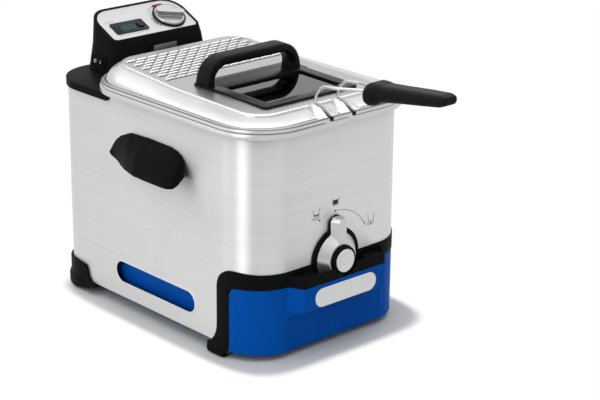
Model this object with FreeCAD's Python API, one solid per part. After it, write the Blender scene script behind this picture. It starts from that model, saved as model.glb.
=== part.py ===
import FreeCAD, Part
import math
import os

os.makedirs("parts", exist_ok=True)

# Deep fryer with a pull-out oil box. Millimetres, +Z up, the front faces -Y.
# Everything is drawn with the housing centred on the origin and moved by SHIFT_Y at the end,
# so that the whole object, grip included, is centred.
SHIFT_Y = 88.75

# Housing
HALF_WIDTH = 132.5
FRONT = -201.5
REAR = 201.5
CORNER = 58.0
SHEET = 1.0
HOUSING_BOTTOM = 16.0
HOUSING_TOP = 285.0
STEEL_LOW_EDGE = 110.0
DECK_SEAT = 281.0
SLOT = {"y": (-92.0, 68.0), "z": (36.5, 65.5), "radius": 14.4}
OPENING = {"half": 127.0, "front": -196.0, "rear": 122.0, "front_r": 52.0, "rear_r": 52.0}

# Rear deck and feet
DECK_PROUD = 2.5
DECK_SKIRT = 275.5
DECK_FRONT = 75.0
DOCK_X = 55.0
DOCK_Y = 170.0
DOCK_HOLE = 6.4
FOOT_BOTTOM = 2.0
FOOT_PROUD = 3.5
FOOT_FLARE = 6.0
FOOT_INSET = 9.0
PAD_BOXES = [(127.0, 136.0, -150.0, -124.0), (123.0, 129.0, 153.0, 171.0)]

# Front bezel
BEZEL_PROUD = 1.5
FIT = 0.1
BAR_FRONT = -155.0
BAR_REAR = -135.0
BEZEL_STEP = -142.0
BAND_BOTTOM = 94.0
BAND_TOP = 113.2
COLLAR_TOP = 107.6
BULGE_ROOT = 79.0
BULGE_HALF = 69.0
BULGE_FRONT = -222.4
BULGE_ROUND = 7.0
WINDOW_CORNER = 10.0

# Drain knob and valve, all on one axis along Y
KNOB_Z = 113.5
KNOB_BACK = -201.9
KNOB_BASE_FRONT = -204.4
KNOB_FRONT = -216.0
KNOB_BASE_R = 38.5
KNOB_R = 33.0
KNOB_TOP_R = 22.5
HUB_R = 18.5
HUB_FRONT = -220.3
DISC_R = 14.8
DISC_FRONT = -222.0
FIN_TOP = 167.5
POCKET_R = 39.8
POCKET_FRONT = -219.8
POCKET_BACK = -201.5
SHAFT_R = 4.0
BUSH_R = 8.0
VALVE_Y = -126.0
PLUG_R = 11.0
PLUG_FIT = 0.05
VALVE_BORE = 7.0
PLUG_TURN = 60.0
SHIELD_Z = 131.0

# Oil box
BOX_PROUD = 0.8
BOX_WALL = 2.4
BOX_BOTTOM = 8.5
TANK_BOTTOM = 11.0
BOX_TOP = 93.4
BOX_REAR_EDGE = -155.6
TANK_HALF = 121.5
TANK_FRONT = -200.2
TANK_REAR = 180.0
TANK_TOP = 72.0
BULGE_BOTTOM = 58.5
RAIL_SHELF = 21.0
RIB_REACH = 4.5
RIB_HEIGHT = 3.0
RIB_FRONT = -116.0
RIB_REAR = 130.0
REST_GAP = 0.3

# Bowl, basket and element
RIM = {"half": 141.5, "front": -210.5, "rear": 126.0, "front_r": 66.0, "rear_r": 66.0}
BOWL_TOP = {"half": 124.0, "front": -193.0, "rear": 117.0, "front_r": 50.0, "rear_r": 50.0}
BOWL_LOW = {"half": 112.0, "front": -180.0, "rear": 105.0, "front_r": 45.0, "rear_r": 45.0}
BOWL_SHEET = 1.2
BOWL_BOTTOM = 140.0
RIM_BOTTOM = 285.3
RIM_TOP = 293.0
BASKET_TOP = {"half": 103.0, "front": -175.0, "rear": 86.0, "front_r": 30.0, "rear_r": 30.0}
BASKET_LOW = {"half": 96.0, "front": -168.0, "rear": 78.0, "front_r": 28.0, "rear_r": 28.0}
BASKET_FLOOR = 172.0
BASKET_SHEET = 1.2
BASKET_EDGE = 266.0
WIRE_R = 2.0
WIRE_X = 18.5
WIRE_Y = -183.0
ELEMENT_R = 3.5
ELEMENT_Z = 152.0

# Lid
LID_BOTTOM = 293.3
FLANGE = {"half": 141.0, "front": -212.0, "rear": 124.5, "front_r": 66.5, "rear_r": 66.5}
LID_FOOT = {"half": 134.0, "front": -205.0, "rear": 118.0, "front_r": 59.5, "rear_r": 59.5}
LID_PLATEAU = {"half": 107.0, "front": -178.0, "rear": 105.0, "front_r": 34.0, "rear_r": 34.0}
LID_SHEET = 1.2
LID_FOOT_Z = 298.5
LID_FRONT_Z = 306.5
LID_FRONT_SLOPE = 0.02
LID_CREASE_Y = -25.0
LID_REAR_SLOPE = 0.07
LID_COVE = [(0.0, 0.0), (0.45, 0.14), (0.8, 0.48), (1.0, 1.0)]
WINDOW = {"half": 62.0, "front": -145.0, "rear": -68.0}
WINDOW_FRAME = {"half": 77.0, "front": -159.0, "rear": -27.0, "proud": 2.5}
LID_HANDLE = {"half": 77.5, "bar": 11.0, "front": -53.5, "rear": -28.5, "top": 343.3, "radius": 32.0}
HOOD_HALF = 10.5
HOOD_SLIT = 4.0

# Control head. Its panel is a tilted plane; panel places are (x, distance up the slope).
HEAD_BOTTOM = 285.3
HEAD_BASE_TOP = 289.3
HEAD_WALL = 2.2
PANEL_FRONT_Y = 142.0
PANEL_FRONT_Z = 329.0
PANEL_TILT = 25.0
PANEL_HALF = 69.0
PANEL_EDGES = (1.5, 61.5)
PANEL_SHEET = 1.2
SHOULDER = {"side": 4.5, "front": 2.0, "rear": 4.5}
HEAD_FOOT_HALF = 81.5
HEAD_WAIST_HALF = 76.0
HEAD_WAIST_Z = 319.0
TEMP_KNOB = (38.7, 27.6)
TEMP_KNOB_R = 22.0
BUTTON = (-13.7, 22.0)
BUTTON_R = 5.5
LAMP = (37.0, 53.2)
ROCKER_Y = 166.0
ROCKER_Z = 299.0
ROCKER_LEAN = math.degrees(math.atan2(HEAD_FOOT_HALF - HEAD_WAIST_HALF, HEAD_WAIST_Z - HEAD_BOTTOM))

ALONG_X = FreeCAD.Vector(1, 0, 0)
ALONG_Y = FreeCAD.Vector(0, 1, 0)
ALONG_Z = FreeCAD.Vector(0, 0, 1)


def vec(x, y, z):
    return FreeCAD.Vector(x, y, z)


def block(x0, x1, y0, y1, z0, z1):
    return Part.makeBox(x1 - x0, y1 - y0, z1 - z0, vec(x0, y0, z0))


def edges_along(shape, axis):
    """Straight edges of the shape that run along the axis."""
    found = []
    for edge in shape.Edges:
        if edge.Curve.TypeId != "Part::GeomLine":
            continue
        way = edge.tangentAt(edge.FirstParameter)
        if abs(abs(way.dot(axis)) - 1.0) < 1e-6:
            found.append(edge)
    return found


def rounded_block(x0, x1, y0, y1, z0, z1, axis, radius):
    """Box with the four edges along one axis rounded."""
    box = block(x0, x1, y0, y1, z0, z1)
    return box.makeFillet(radius, edges_along(box, axis))


def rod(start, end, radius):
    way = end.sub(start)
    return Part.makeCylinder(radius, way.Length, start, way)


def cone(start, end, start_radius, end_radius):
    way = end.sub(start)
    return Part.makeCone(start_radius, end_radius, way.Length, start, way)


def joined(shapes):
    return shapes[0].multiFuse(shapes[1:]).removeSplitter()


def mirrored(shape):
    return shape.mirror(vec(0, 0, 0), ALONG_X)


def slab(points, way):
    """Polygon through the points, drawn out along the vector."""
    return Part.Face(Part.makePolygon(points + [points[0]])).extrude(way)


def corner_arc(x, y, radius, start, height):
    """Quarter circle round (x, y) that starts at an angle; height gives z for a place (x, y)."""
    points = []
    for turn in (start, start + 45, start + 90):
        px = x + radius * math.cos(math.radians(turn))
        py = y + radius * math.sin(math.radians(turn))
        points.append(vec(px, py, height(px, py)))
    return Part.Arc(points[0], points[1], points[2]).toShape()


def outline(plan, z, inset=0.0):
    """Closed wire of a plan with rounded corners, flat at z, shrunk by the inset."""
    half = plan["half"] - inset
    front = plan["front"] + inset
    rear = plan["rear"] - inset
    front_r = plan["front_r"] - inset
    rear_r = plan["rear_r"] - inset

    def level(x, y):
        return z

    arcs = [
        corner_arc(half - front_r, front + front_r, front_r, -90, level),
        corner_arc(half - rear_r, rear - rear_r, rear_r, 0, level),
        corner_arc(rear_r - half, rear - rear_r, rear_r, 90, level),
        corner_arc(front_r - half, front + front_r, front_r, 180, level),
    ]
    edges = []
    for index, arc in enumerate(arcs):
        following = arcs[(index + 1) % 4]
        edges.append(arc)
        edges.append(Part.makeLine(arc.lastVertex().Point, following.firstVertex().Point))
    return Part.Wire(edges)


BODY = {"half": HALF_WIDTH, "front": FRONT, "rear": REAR, "front_r": CORNER, "rear_r": CORNER}


def prism(plan, bottom, top, inset=0.0):
    """Upright solid on a rounded plan."""
    return Part.Face(outline(plan, bottom, inset)).extrude(vec(0, 0, top - bottom))


def body_wall(outside, inside, bottom, top):
    """Upright wall that follows the housing, between two distances outside its skin."""
    return prism(BODY, bottom, top, -outside).cut(prism(BODY, bottom - 1, top + 1, -inside))


def loft(wires):
    return Part.makeLoft(wires, True, True)


def bent_path(points, bend):
    """Wire through the points with a tangent arc at every corner."""
    edges = []
    here = points[0]
    for before, corner, after in zip(points, points[1:], points[2:]):
        back = before.sub(corner).normalize()
        ahead = after.sub(corner).normalize()
        half_angle = back.getAngle(ahead) / 2
        inward = (back + ahead).normalize()
        start = corner + back * (bend / math.tan(half_angle))
        end = corner + ahead * (bend / math.tan(half_angle))
        middle = corner + inward * (bend / math.sin(half_angle) - bend)
        edges.append(Part.makeLine(here, start))
        edges.append(Part.Arc(start, middle, end).toShape())
        here = end
    edges.append(Part.makeLine(here, points[-1]))
    return Part.Wire(edges)


def bent_rod(points, bend, radius):
    """Round bar along a path with rounded corners."""
    circle = Part.Wire([Part.makeCircle(radius, points[0], points[1].sub(points[0]))])
    return bent_path(points, bend).makePipeShell([circle], True, False)


def on_panel(shape):
    """Moves a shape drawn flat, with the panel front edge at y 0 and its skin at z 0, into place."""
    placed = shape.copy()
    placed.rotate(vec(0, 0, 0), ALONG_X, PANEL_TILT)
    placed.translate(vec(0, PANEL_FRONT_Y, PANEL_FRONT_Z))
    return placed


def edges_at_height(shape, z):
    """Level edges of a shape that lie at one height."""
    return [e for e in shape.Edges if abs(e.BoundBox.ZMin - z) < 1e-6 and e.BoundBox.ZLength < 1e-6]


def on_lid(shape):
    """Tilts a shape drawn level with the front fold of the lid onto the front plane of the lid."""
    placed = shape.copy()
    angle = math.degrees(math.atan(LID_FRONT_SLOPE))
    placed.rotate(vec(0, LID_PLATEAU["front"], LID_FRONT_Z), ALONG_X, angle)
    return placed


def on_rocker_wall(shape):
    """Moves a shape drawn against the plane x 0, outside towards -X, onto the leaning head wall."""
    placed = shape.copy()
    placed.rotate(vec(0, 0, 0), ALONG_Y, ROCKER_LEAN)
    wall_x = -head_half(ROCKER_Z)
    placed.translate(vec(wall_x, ROCKER_Y, ROCKER_Z))
    return placed


# Housing and what is fixed to it

HANDLE_SCREWS = [(22.0, 229.0), (-52.0, 229.0)]
SCREW_R = 2.0


def make_outer_housing():
    shell = prism(BODY, HOUSING_BOTTOM, HOUSING_TOP)
    shell = shell.cut(prism(BODY, HOUSING_BOTTOM - 1, HOUSING_TOP - SHEET, SHEET))
    far = HALF_WIDTH + 10
    slot_y, slot_z = SLOT["y"], SLOT["z"]
    cutters = [
        prism(OPENING, HOUSING_TOP - 5, HOUSING_TOP + 5),
        block(-far, far, FRONT - 10, BEZEL_STEP, 0, STEEL_LOW_EDGE),
        block(-far, far, DECK_FRONT, REAR + 10, DECK_SEAT, HOUSING_TOP + 5),
        rod(vec(0, FRONT - 5, KNOB_Z), vec(0, FRONT + 5, KNOB_Z), BUSH_R + 1),
        rounded_block(-far, far, slot_y[0], slot_y[1], slot_z[0], slot_z[1], ALONG_X, SLOT["radius"]),
    ]
    for y, z in HANDLE_SCREWS:
        cutters.append(rod(vec(-far, y, z), vec(far, y, z), SCREW_R))
    for cutter in cutters:
        shell = shell.cut(cutter)
    return shell


def make_rear_deck():
    far = HALF_WIDTH + 20
    tip = 4.5
    deck = prism(BODY, DECK_SKIRT, HOUSING_TOP, -DECK_PROUD)
    deck = deck.cut(prism(BODY, DECK_SKIRT - 1, DECK_SEAT, -FIT))
    deck = deck.cut(prism(OPENING, DECK_SKIRT - 5, HOUSING_TOP + 5))
    keep = block(-far, far, DECK_FRONT, REAR + 20, DECK_SKIRT, HOUSING_TOP)
    front_edges = [e for e in edges_along(keep, ALONG_X) if abs(e.CenterOfMass.y - DECK_FRONT) < 1e-6]
    deck = deck.common(keep.makeFillet(tip, front_edges))
    for side in (-1, 1):
        x = side * DOCK_X
        deck = deck.cut(rod(vec(x, DOCK_Y, DECK_SKIRT - 5), vec(x, DOCK_Y, HOUSING_TOP + 5), DOCK_HOLE))
    return deck


def make_rear_foot():
    """Left rear foot; wraps the corner under and outside the housing."""
    flare = loft([outline(BODY, 12, -FOOT_FLARE), outline(BODY, 18, -FOOT_PROUD)])
    foot = joined([prism(BODY, FOOT_BOTTOM, 12, -FOOT_FLARE), flare, prism(BODY, 18, 60, -FOOT_PROUD)])
    foot = foot.cut(prism(BODY, FOOT_BOTTOM - 1, 61, FOOT_INSET))
    foot = foot.cut(prism(BODY, HOUSING_BOTTOM - FIT, 61, -FIT))
    side_view = [
        (150, FOOT_BOTTOM), (126, 7), (111, 12.5), (111, 14.5), (122, 18), (128, 24), (130, 33),
        (133, 38.5), (150, 40.5),
        (170, 39.5), (190, 37), (215, 36), (215, FOOT_BOTTOM),
    ]
    points = [vec(-200, y, z) for y, z in side_view]
    return foot.common(slab(points, vec(200 - 70, 0, 0)))


def make_foot_pads():
    pads = []
    for side in (-1, 1):
        for x0, x1, y0, y1 in PAD_BOXES:
            low, high = sorted((side * x0, side * x1))
            pads.append(rounded_block(low, high, y0, y1, 0, FOOT_BOTTOM, ALONG_Z, 2.5))
    return Part.makeCompound(pads)


def bulge_plan(inset):
    """Corners of the swelling of the front, seen from above, from the left root to the right root."""
    front = BULGE_FRONT + inset
    return [
        (-BULGE_ROOT + inset * 1.2, FRONT),
        (-BULGE_HALF + inset * 0.6, front),
        (BULGE_HALF - inset * 0.6, front),
        (BULGE_ROOT - inset * 1.2, FRONT),
    ]


def bulge_solid(inset, bottom, top):
    """Swelling of the front between two heights, its two front corners rounded."""
    solid = slab([vec(x, y, bottom) for x, y in bulge_plan(inset)], vec(0, 0, top - bottom))
    front = BULGE_FRONT + inset
    ridges = [e for e in edges_along(solid, ALONG_Z) if abs(e.CenterOfMass.y - front) < 1e-6]
    return solid.makeFillet(BULGE_ROUND, ridges)


def make_front_foot():
    """Flared foot at the bottom of the left bezel bar."""
    outer = HALF_WIDTH + BEZEL_PROUD
    inner = HALF_WIDTH - 4.0
    sections = []
    for x_out, x_in, rear, z in (
        (outer, inner, BAR_REAR, 36.0),
        (outer + 1.0, inner - 1.0, BAR_REAR + 4.0, 24.0),
        (outer + 4.0, inner - 4.0, BAR_REAR + 13.0, 12.0),
        (outer + 3.0, inner - 4.0, BAR_REAR + 14.0, FOOT_BOTTOM),
    ):
        corners = [(-x_out, BAR_FRONT), (-x_in, BAR_FRONT), (-x_in, rear), (-x_out, rear)]
        points = [vec(x, y, z) for x, y in corners]
        sections.append(Part.makePolygon(points + [points[0]]))
    foot = loft(sections)
    steel = prism(BODY, HOUSING_BOTTOM - FIT, 60, -FIT).common(block(-200, 200, BEZEL_STEP - FIT, 0, 0, 60))
    return foot.cut(steel)


def make_front_bezel():
    far = HALF_WIDTH + 20
    frame = block(-far, far, FRONT - 20, BAR_REAR, FOOT_BOTTOM, BAND_TOP)
    shoulder = [
        e for e in edges_along(frame, ALONG_X)
        if abs(e.CenterOfMass.y - BAR_REAR) < 1e-6 and e.CenterOfMass.z > BAND_BOTTOM
    ]
    frame = frame.makeFillet(26.0, shoulder)
    window = block(-far, far, FRONT - 30, BAR_FRONT, 0, BAND_BOTTOM)
    corner = [
        e for e in edges_along(window, ALONG_X)
        if abs(e.CenterOfMass.y - BAR_FRONT) < 1e-6 and e.CenterOfMass.z > 1
    ]
    frame = frame.cut(window.makeFillet(WINDOW_CORNER, corner))
    skin = body_wall(BEZEL_PROUD, FIT, FOOT_BOTTOM, BAND_TOP).common(frame)
    collar = bulge_solid(0, BAND_BOTTOM, COLLAR_TOP)
    foot = make_front_foot()
    wall = block(-60, 60, POCKET_BACK + 1.1, POCKET_BACK + 5.1, BAND_BOTTOM, 132)
    link = block(-60, 60, POCKET_BACK - 1.0, POCKET_BACK + 1.1, BAND_BOTTOM, STEEL_LOW_EDGE - 0.2)
    front = joined([skin, collar, link])
    front = front.cut(rod(vec(0, POCKET_FRONT, KNOB_Z), vec(0, POCKET_BACK, KNOB_Z), POCKET_R))
    front = front.cut(rod(vec(0, BULGE_FRONT - 5, KNOB_Z), vec(0, POCKET_BACK, KNOB_Z), HUB_R + 0.8))
    bezel = joined([front, wall, foot, mirrored(foot)])
    return bezel.cut(rod(vec(0, FRONT - 5, KNOB_Z), vec(0, FRONT + 10, KNOB_Z), BUSH_R))


def make_side_handle():
    """Left side handle: a hood with a level lower lip, hollow for the fingers, and a flat rear wing."""
    wall = HALF_WIDTH
    lip = 204.0
    side_view = [
        (70, lip), (74, 208), (72, 214), (65, 226), (52, 236), (30, 245.5), (-44, 246.5),
        (-58, 243), (-68, 236), (-76, 225), (-79.5, 215), (-79.5, 209.5), (-77.5, 206), (-73, lip),
    ]
    plan = [
        (58, 0), (44, 8), (22, 18), (-4, 25.5), (-40, 26.5), (-69, 26.5), (-76, 24.5), (-80, 19), (-81, 0),
    ]
    section = [(0, lip), (27, lip), (27, 213), (24, 224), (17, 235), (8, 243), (0, 247)]

    def hood(shrink, bottom):
        side = slab([vec(-wall, y, z) for y, z in side_view], vec(-40, 0, 0))
        above = slab([vec(-wall - s, y, lip - 2) for y, s in plan], vec(0, 0, 60))
        across = slab([vec(-wall - s, -120, z) for s, z in section], vec(0, 240, 0))
        solid = side.common(above).common(across)
        centre = vec(-wall, -12, bottom)
        if shrink < 1.0:
            grow = FreeCAD.Matrix()
            grow.scale(shrink, shrink * 0.98, shrink)
            solid.translate(-centre)
            solid = solid.transformGeometry(grow)
            solid.translate(centre)
        return solid

    outer = hood(1.0, lip)
    hollow = hood(0.84, lip)
    hollow.translate(vec(0, 0, -0.01))
    wing = slab([vec(-wall, y, z) for y, z in side_view], vec(-3.2, 0, 0))
    shell = joined([outer.cut(hollow), wing])
    bosses = [rod(vec(-wall, y, z), vec(-wall - 20, y, z), 5.0).common(outer) for y, z in HANDLE_SCREWS]
    handle = joined([shell] + bosses)
    for y, z in HANDLE_SCREWS:
        handle = handle.cut(rod(vec(-wall + 1, y, z), vec(-wall - 9, y, z), SCREW_R))
    return handle


def make_side_handle_screws():
    screws = []
    for side in (-1, 1):
        inside = side * (HALF_WIDTH - SHEET)
        for y, z in HANDLE_SCREWS:
            shank = rod(vec(inside, y, z), vec(side * (HALF_WIDTH + 9), y, z), SCREW_R)
            head = rod(vec(inside - side * 2.2, y, z), vec(inside, y, z), 3.6)
            screws.append(joined([shank, head]))
    return Part.makeCompound(screws)


def make_drawer_rail():
    """Left rail: an angle on the inside of the housing that the oil box runs on."""
    wall = -(HALF_WIDTH - SHEET)
    shelf = block(wall, wall + 8.0, -118, 185, RAIL_SHELF - 3, RAIL_SHELF)
    upright = block(wall, wall + 1.6, -118, 185, RAIL_SHELF - 3, RAIL_SHELF + 13)
    rail = joined([shelf, upright])
    return rail.common(prism(BODY, 0, 60, SHEET))


def make_heat_shield():
    plate = prism(BODY, SHIELD_Z, SHIELD_Z + 1, SHEET)
    plate = plate.common(block(-200, 200, -190, 200, 0, 300))
    plate = plate.cut(rod(vec(0, VALVE_Y, SHIELD_Z - 5), vec(0, VALVE_Y, SHIELD_Z + 5), 13.5))
    for x, y in valve_screw_places():
        plate = plate.cut(rod(vec(x, y, SHIELD_Z - 5), vec(x, y, SHIELD_Z + 5), SCREW_R))
    return plate


def make_shaft_bush():
    tube = rod(vec(0, POCKET_BACK + 0.2, KNOB_Z), vec(0, -190, KNOB_Z), BUSH_R)
    collar = rod(vec(0, POCKET_BACK + 5.1, KNOB_Z), vec(0, POCKET_BACK + 7.1, KNOB_Z), BUSH_R + 3)
    bore = rod(vec(0, FRONT - 5, KNOB_Z), vec(0, -180, KNOB_Z), SHAFT_R + PLUG_FIT)
    return joined([tube, collar]).cut(bore)


def valve_screw_places():
    return [(x, VALVE_Y + y) for x in (-22, 22) for y in (-14, 14)]


def make_drain_valve_body():
    barrel = rod(vec(0, VALVE_Y - 29, KNOB_Z), vec(0, VALVE_Y + 27, KNOB_Z), 16.0)
    neck = rod(vec(0, VALVE_Y, KNOB_Z), vec(0, VALVE_Y, 134.5), 13.0)
    spout = rod(vec(0, VALVE_Y, 80), vec(0, VALVE_Y, KNOB_Z), 10.0)
    plate = rounded_block(-28, 28, VALVE_Y - 20, VALVE_Y + 20, SHIELD_Z - 3, SHIELD_Z, ALONG_Z, 6.0)
    valve = joined([barrel, neck, spout, plate])
    bore = rod(vec(0, VALVE_Y - 40, KNOB_Z), vec(0, VALVE_Y + 24, KNOB_Z), PLUG_R + PLUG_FIT)
    drop = rod(vec(0, VALVE_Y, 70), vec(0, VALVE_Y, 140), VALVE_BORE)
    socket = rod(vec(0, VALVE_Y, 126.5), vec(0, VALVE_Y, 140), 9.8)
    for cutter in (bore, drop, socket):
        valve = valve.cut(cutter)
    for x, y in valve_screw_places():
        valve = valve.cut(rod(vec(x, y, SHIELD_Z - 10), vec(x, y, SHIELD_Z + 5), SCREW_R))
    return valve


def make_valve_screws():
    screws = []
    for x, y in valve_screw_places():
        head = rod(vec(x, y, SHIELD_Z - 5.4), vec(x, y, SHIELD_Z - 3), 3.6)
        shank = rod(vec(x, y, SHIELD_Z - 3), vec(x, y, SHIELD_Z + 1), SCREW_R)
        nut = rod(vec(x, y, SHIELD_Z + 1), vec(x, y, SHIELD_Z + 3.6), 3.6)
        screws.append(joined([head, shank, nut]))
    return Part.makeCompound(screws)


def make_drain_seal():
    ring = rod(vec(0, VALVE_Y, 134.5), vec(0, VALVE_Y, 137), 13.0)
    return ring.cut(rod(vec(0, VALVE_Y, 130), vec(0, VALVE_Y, 140), 9.9))


# Drain knob, its shaft and the plug it turns

def fin(half_low, half_high, top, front, back):
    """Pointer that stands up from the knob axis, its top rounded."""
    points = [vec(-half_low, back, KNOB_Z), vec(-half_high, back, top - half_high),
              vec(half_high, back, top - half_high), vec(half_low, back, KNOB_Z)]
    body = slab(points, vec(0, front - back, 0))
    tip = rod(vec(0, back, top - half_high), vec(0, front, top - half_high), half_high)
    return joined([body, tip])


def make_drain_knob_base():
    disc = rod(vec(0, KNOB_BACK, KNOB_Z), vec(0, KNOB_BASE_FRONT, KNOB_Z), KNOB_BASE_R)
    base = joined([disc, fin(12.5, 10.5, FIN_TOP + 1.0, KNOB_BASE_FRONT, KNOB_BACK)])
    return base.cut(rod(vec(0, FRONT + 5, KNOB_Z), vec(0, KNOB_FRONT, KNOB_Z), SHAFT_R))


def make_drain_knob():
    cap = cone(vec(0, KNOB_BASE_FRONT, KNOB_Z), vec(0, KNOB_FRONT, KNOB_Z), KNOB_R, KNOB_TOP_R)
    back = [(11.5, KNOB_Z), (10.8, FIN_TOP - 5), (7.0, FIN_TOP)]
    face = [(6.4, KNOB_Z), (5.8, FIN_TOP - 5), (3.6, FIN_TOP - 1.5)]
    wires = []
    for y, right in ((KNOB_BASE_FRONT, back), (KNOB_FRONT, face)):
        corners = [(-x, z) for x, z in right] + right[::-1]
        points = [vec(x, y, z) for x, z in corners]
        wires.append(Part.makePolygon(points + [points[0]]))
    knob = joined([cap, loft(wires)])
    knob = knob.cut(rod(vec(0, KNOB_FRONT - 5, KNOB_Z), vec(0, KNOB_FRONT + 3.5, KNOB_Z), HUB_R))
    return knob.cut(rod(vec(0, FRONT, KNOB_Z), vec(0, KNOB_FRONT - 5, KNOB_Z), SHAFT_R))


def make_drain_knob_hub():
    hub = rod(vec(0, KNOB_FRONT + 3.5, KNOB_Z), vec(0, HUB_FRONT, KNOB_Z), HUB_R)
    hub = hub.makeChamfer(1.2, [e for e in hub.Edges if abs(e.CenterOfMass.y - HUB_FRONT) < 1e-6])
    hub = hub.cut(rod(vec(0, HUB_FRONT - 5, KNOB_Z), vec(0, HUB_FRONT + 1.0, KNOB_Z), DISC_R))
    return hub


def make_drain_knob_disc():
    return rod(vec(0, HUB_FRONT + 1.0, KNOB_Z), vec(0, DISC_FRONT, KNOB_Z), DISC_R)


def make_drain_shaft():
    return rod(vec(0, KNOB_FRONT + 3.5, KNOB_Z), vec(0, VALVE_Y - 25, KNOB_Z), SHAFT_R)


def make_drain_plug():
    plug = rod(vec(0, VALVE_Y - 25, KNOB_Z), vec(0, VALVE_Y + 23, KNOB_Z), PLUG_R)
    bore = rod(vec(0, VALVE_Y, KNOB_Z - 30), vec(0, VALVE_Y, KNOB_Z + 30), VALVE_BORE - 0.5)
    bore.rotate(vec(0, VALVE_Y, KNOB_Z), ALONG_Y, -PLUG_TURN)
    return plug.cut(bore)


# Oil box

def make_oil_box():
    tank_plan = {"half": TANK_HALF, "front": TANK_FRONT, "rear": TANK_REAR, "front_r": 48.0, "rear_r": 46.0}
    tank = prism(tank_plan, TANK_BOTTOM, TANK_TOP)
    tank = tank.cut(prism(tank_plan, TANK_BOTTOM + BOX_WALL, TANK_TOP + 1, BOX_WALL))
    fascia = body_wall(BOX_PROUD, -1.4, BOX_BOTTOM, BOX_TOP)
    keep = block(-200, 200, FRONT - 30, BOX_REAR_EDGE, 0, BOX_TOP)
    shoulder = [
        e for e in edges_along(keep, ALONG_X)
        if abs(e.CenterOfMass.y - BOX_REAR_EDGE) < 1e-6 and e.CenterOfMass.z > 1
    ]
    fascia = fascia.common(keep.makeFillet(WINDOW_CORNER - 0.6, shoulder))
    bulge = bulge_solid(0, BULGE_BOTTOM, BOX_TOP)
    lower_front = [
        e for e in edges_along(bulge, ALONG_X)
        if e.CenterOfMass.z < BULGE_BOTTOM + 1 and e.CenterOfMass.y < BULGE_FRONT + 1
    ]
    bulge = bulge.makeChamfer(5.0, lower_front)
    inside = bulge_solid(BOX_WALL + 0.2, BULGE_BOTTOM - 5, BOX_TOP + 5)
    swell = bulge.cut(inside)
    knob_room = block(-58, 58, FRONT - 2.4, FRONT + 3, TANK_TOP, BOX_TOP + 5)
    ribs = []
    for side in (-1, 1):
        low, high = sorted((side * (TANK_HALF - 1), side * (TANK_HALF + RIB_REACH)))
        bottom = RAIL_SHELF + REST_GAP
        ribs.append(block(low, high, RIB_FRONT, RIB_REAR, bottom, bottom + RIB_HEIGHT))
    return joined([tank, fascia.cut(knob_room), swell] + ribs)


def make_oil_box_badge():
    half, low, high = 51.3, 64.0, 88.4
    end_r = (high - low) / 2 - 0.05
    return rounded_block(-half, half, BULGE_FRONT - 1.4, BULGE_FRONT, low, high, ALONG_Y, end_r)


# Bowl and basket

def make_bowl():
    wall = loft([outline(BOWL_LOW, BOWL_BOTTOM), outline(BOWL_TOP, RIM_TOP)])
    room_floor = outline(BOWL_LOW, BOWL_BOTTOM + BOWL_SHEET, BOWL_SHEET)
    room = loft([room_floor, outline(BOWL_TOP, RIM_TOP, BOWL_SHEET)])
    flange = prism(RIM, RIM_BOTTOM, RIM_TOP)
    flange = flange.makeFillet(2.4, edges_at_height(flange, RIM_TOP))
    hollow = prism(RIM, RIM_BOTTOM - 1, RIM_TOP - BOWL_SHEET, BOWL_SHEET + 0.6)
    rib_plan = {"half": 130.5, "front": -199.5, "rear": 124.0, "front_r": 56.0, "rear_r": 60.0}
    rib = prism(rib_plan, RIM_BOTTOM, RIM_TOP - BOWL_SHEET)
    rib = rib.cut(prism(rib_plan, RIM_BOTTOM - 1, RIM_TOP, 1.6))
    stub = rod(vec(0, VALVE_Y, 128), vec(0, VALVE_Y, BOWL_BOTTOM), 9.4)
    bowl = joined([wall, flange.cut(hollow), rib, stub]).cut(room)
    bowl = bowl.cut(rod(vec(0, VALVE_Y, 120), vec(0, VALVE_Y, 160), 7.4))
    notch = block(-50, 50, 100, 140, 287.5, RIM_TOP + 5)
    return bowl.cut(notch)


def make_drain_filter():
    floor = BOWL_BOTTOM + BOWL_SHEET
    cap = rod(vec(0, VALVE_Y, floor), vec(0, VALVE_Y, floor + 5), 13.0)
    cap = cap.cut(rod(vec(0, VALVE_Y, floor - 1), vec(0, VALVE_Y, floor + 4), 12.2))
    for index in range(8):
        turn = math.radians(45 * index)
        x = 8.5 * math.cos(turn)
        y = VALVE_Y + 8.5 * math.sin(turn)
        cap = cap.cut(rod(vec(x, y, floor), vec(x, y, floor + 9), 1.6))
    return cap


def basket_shell():
    """Whole pressed basket, its walls and floor pierced; its pieces are cut from it."""
    wall = loft([outline(BASKET_LOW, BASKET_FLOOR), outline(BASKET_TOP, BASKET_EDGE)])
    thin = BASKET_SHEET
    room = loft([outline(BASKET_LOW, BASKET_FLOOR + thin, thin), outline(BASKET_TOP, BASKET_EDGE, thin)])
    slots = []
    low, high = BASKET_FLOOR + 14, BASKET_EDGE - 26
    for index in range(11):
        y = -135 + 18 * index
        slots.append(rounded_block(-150, 150, y - 5, y + 5, low, high, ALONG_X, 4.0))
    for index in range(7):
        x = -54 + 18 * index
        slots.append(rounded_block(x - 5, x + 5, -250, 150, low, high, ALONG_Y, 4.0))
    for row in range(9):
        for column in range(7):
            x = -66 + 22 * column
            y = -140 + 24 * row
            low, high = BASKET_FLOOR - 5, BASKET_FLOOR + 5
            slots.append(rounded_block(x - 7, x + 7, y - 7, y + 7, low, high, ALONG_Z, 3.0))
    return wall.cut(room).cut(Part.makeCompound(slots))


def basket_side_room():
    """Space round the left wall of the basket, mitred through its two left corners."""
    plan = [(-10, -82), (-250, -322), (-250, 232.5), (-10, -7.5)]
    bottom = BASKET_FLOOR + BASKET_SHEET
    return slab([vec(x, y, bottom) for x, y in plan], vec(0, 0, 150))


def make_basket():
    """Floor of the basket."""
    return basket_shell().common(block(-200, 200, -300, 200, 0, BASKET_FLOOR + BASKET_SHEET))


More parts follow.
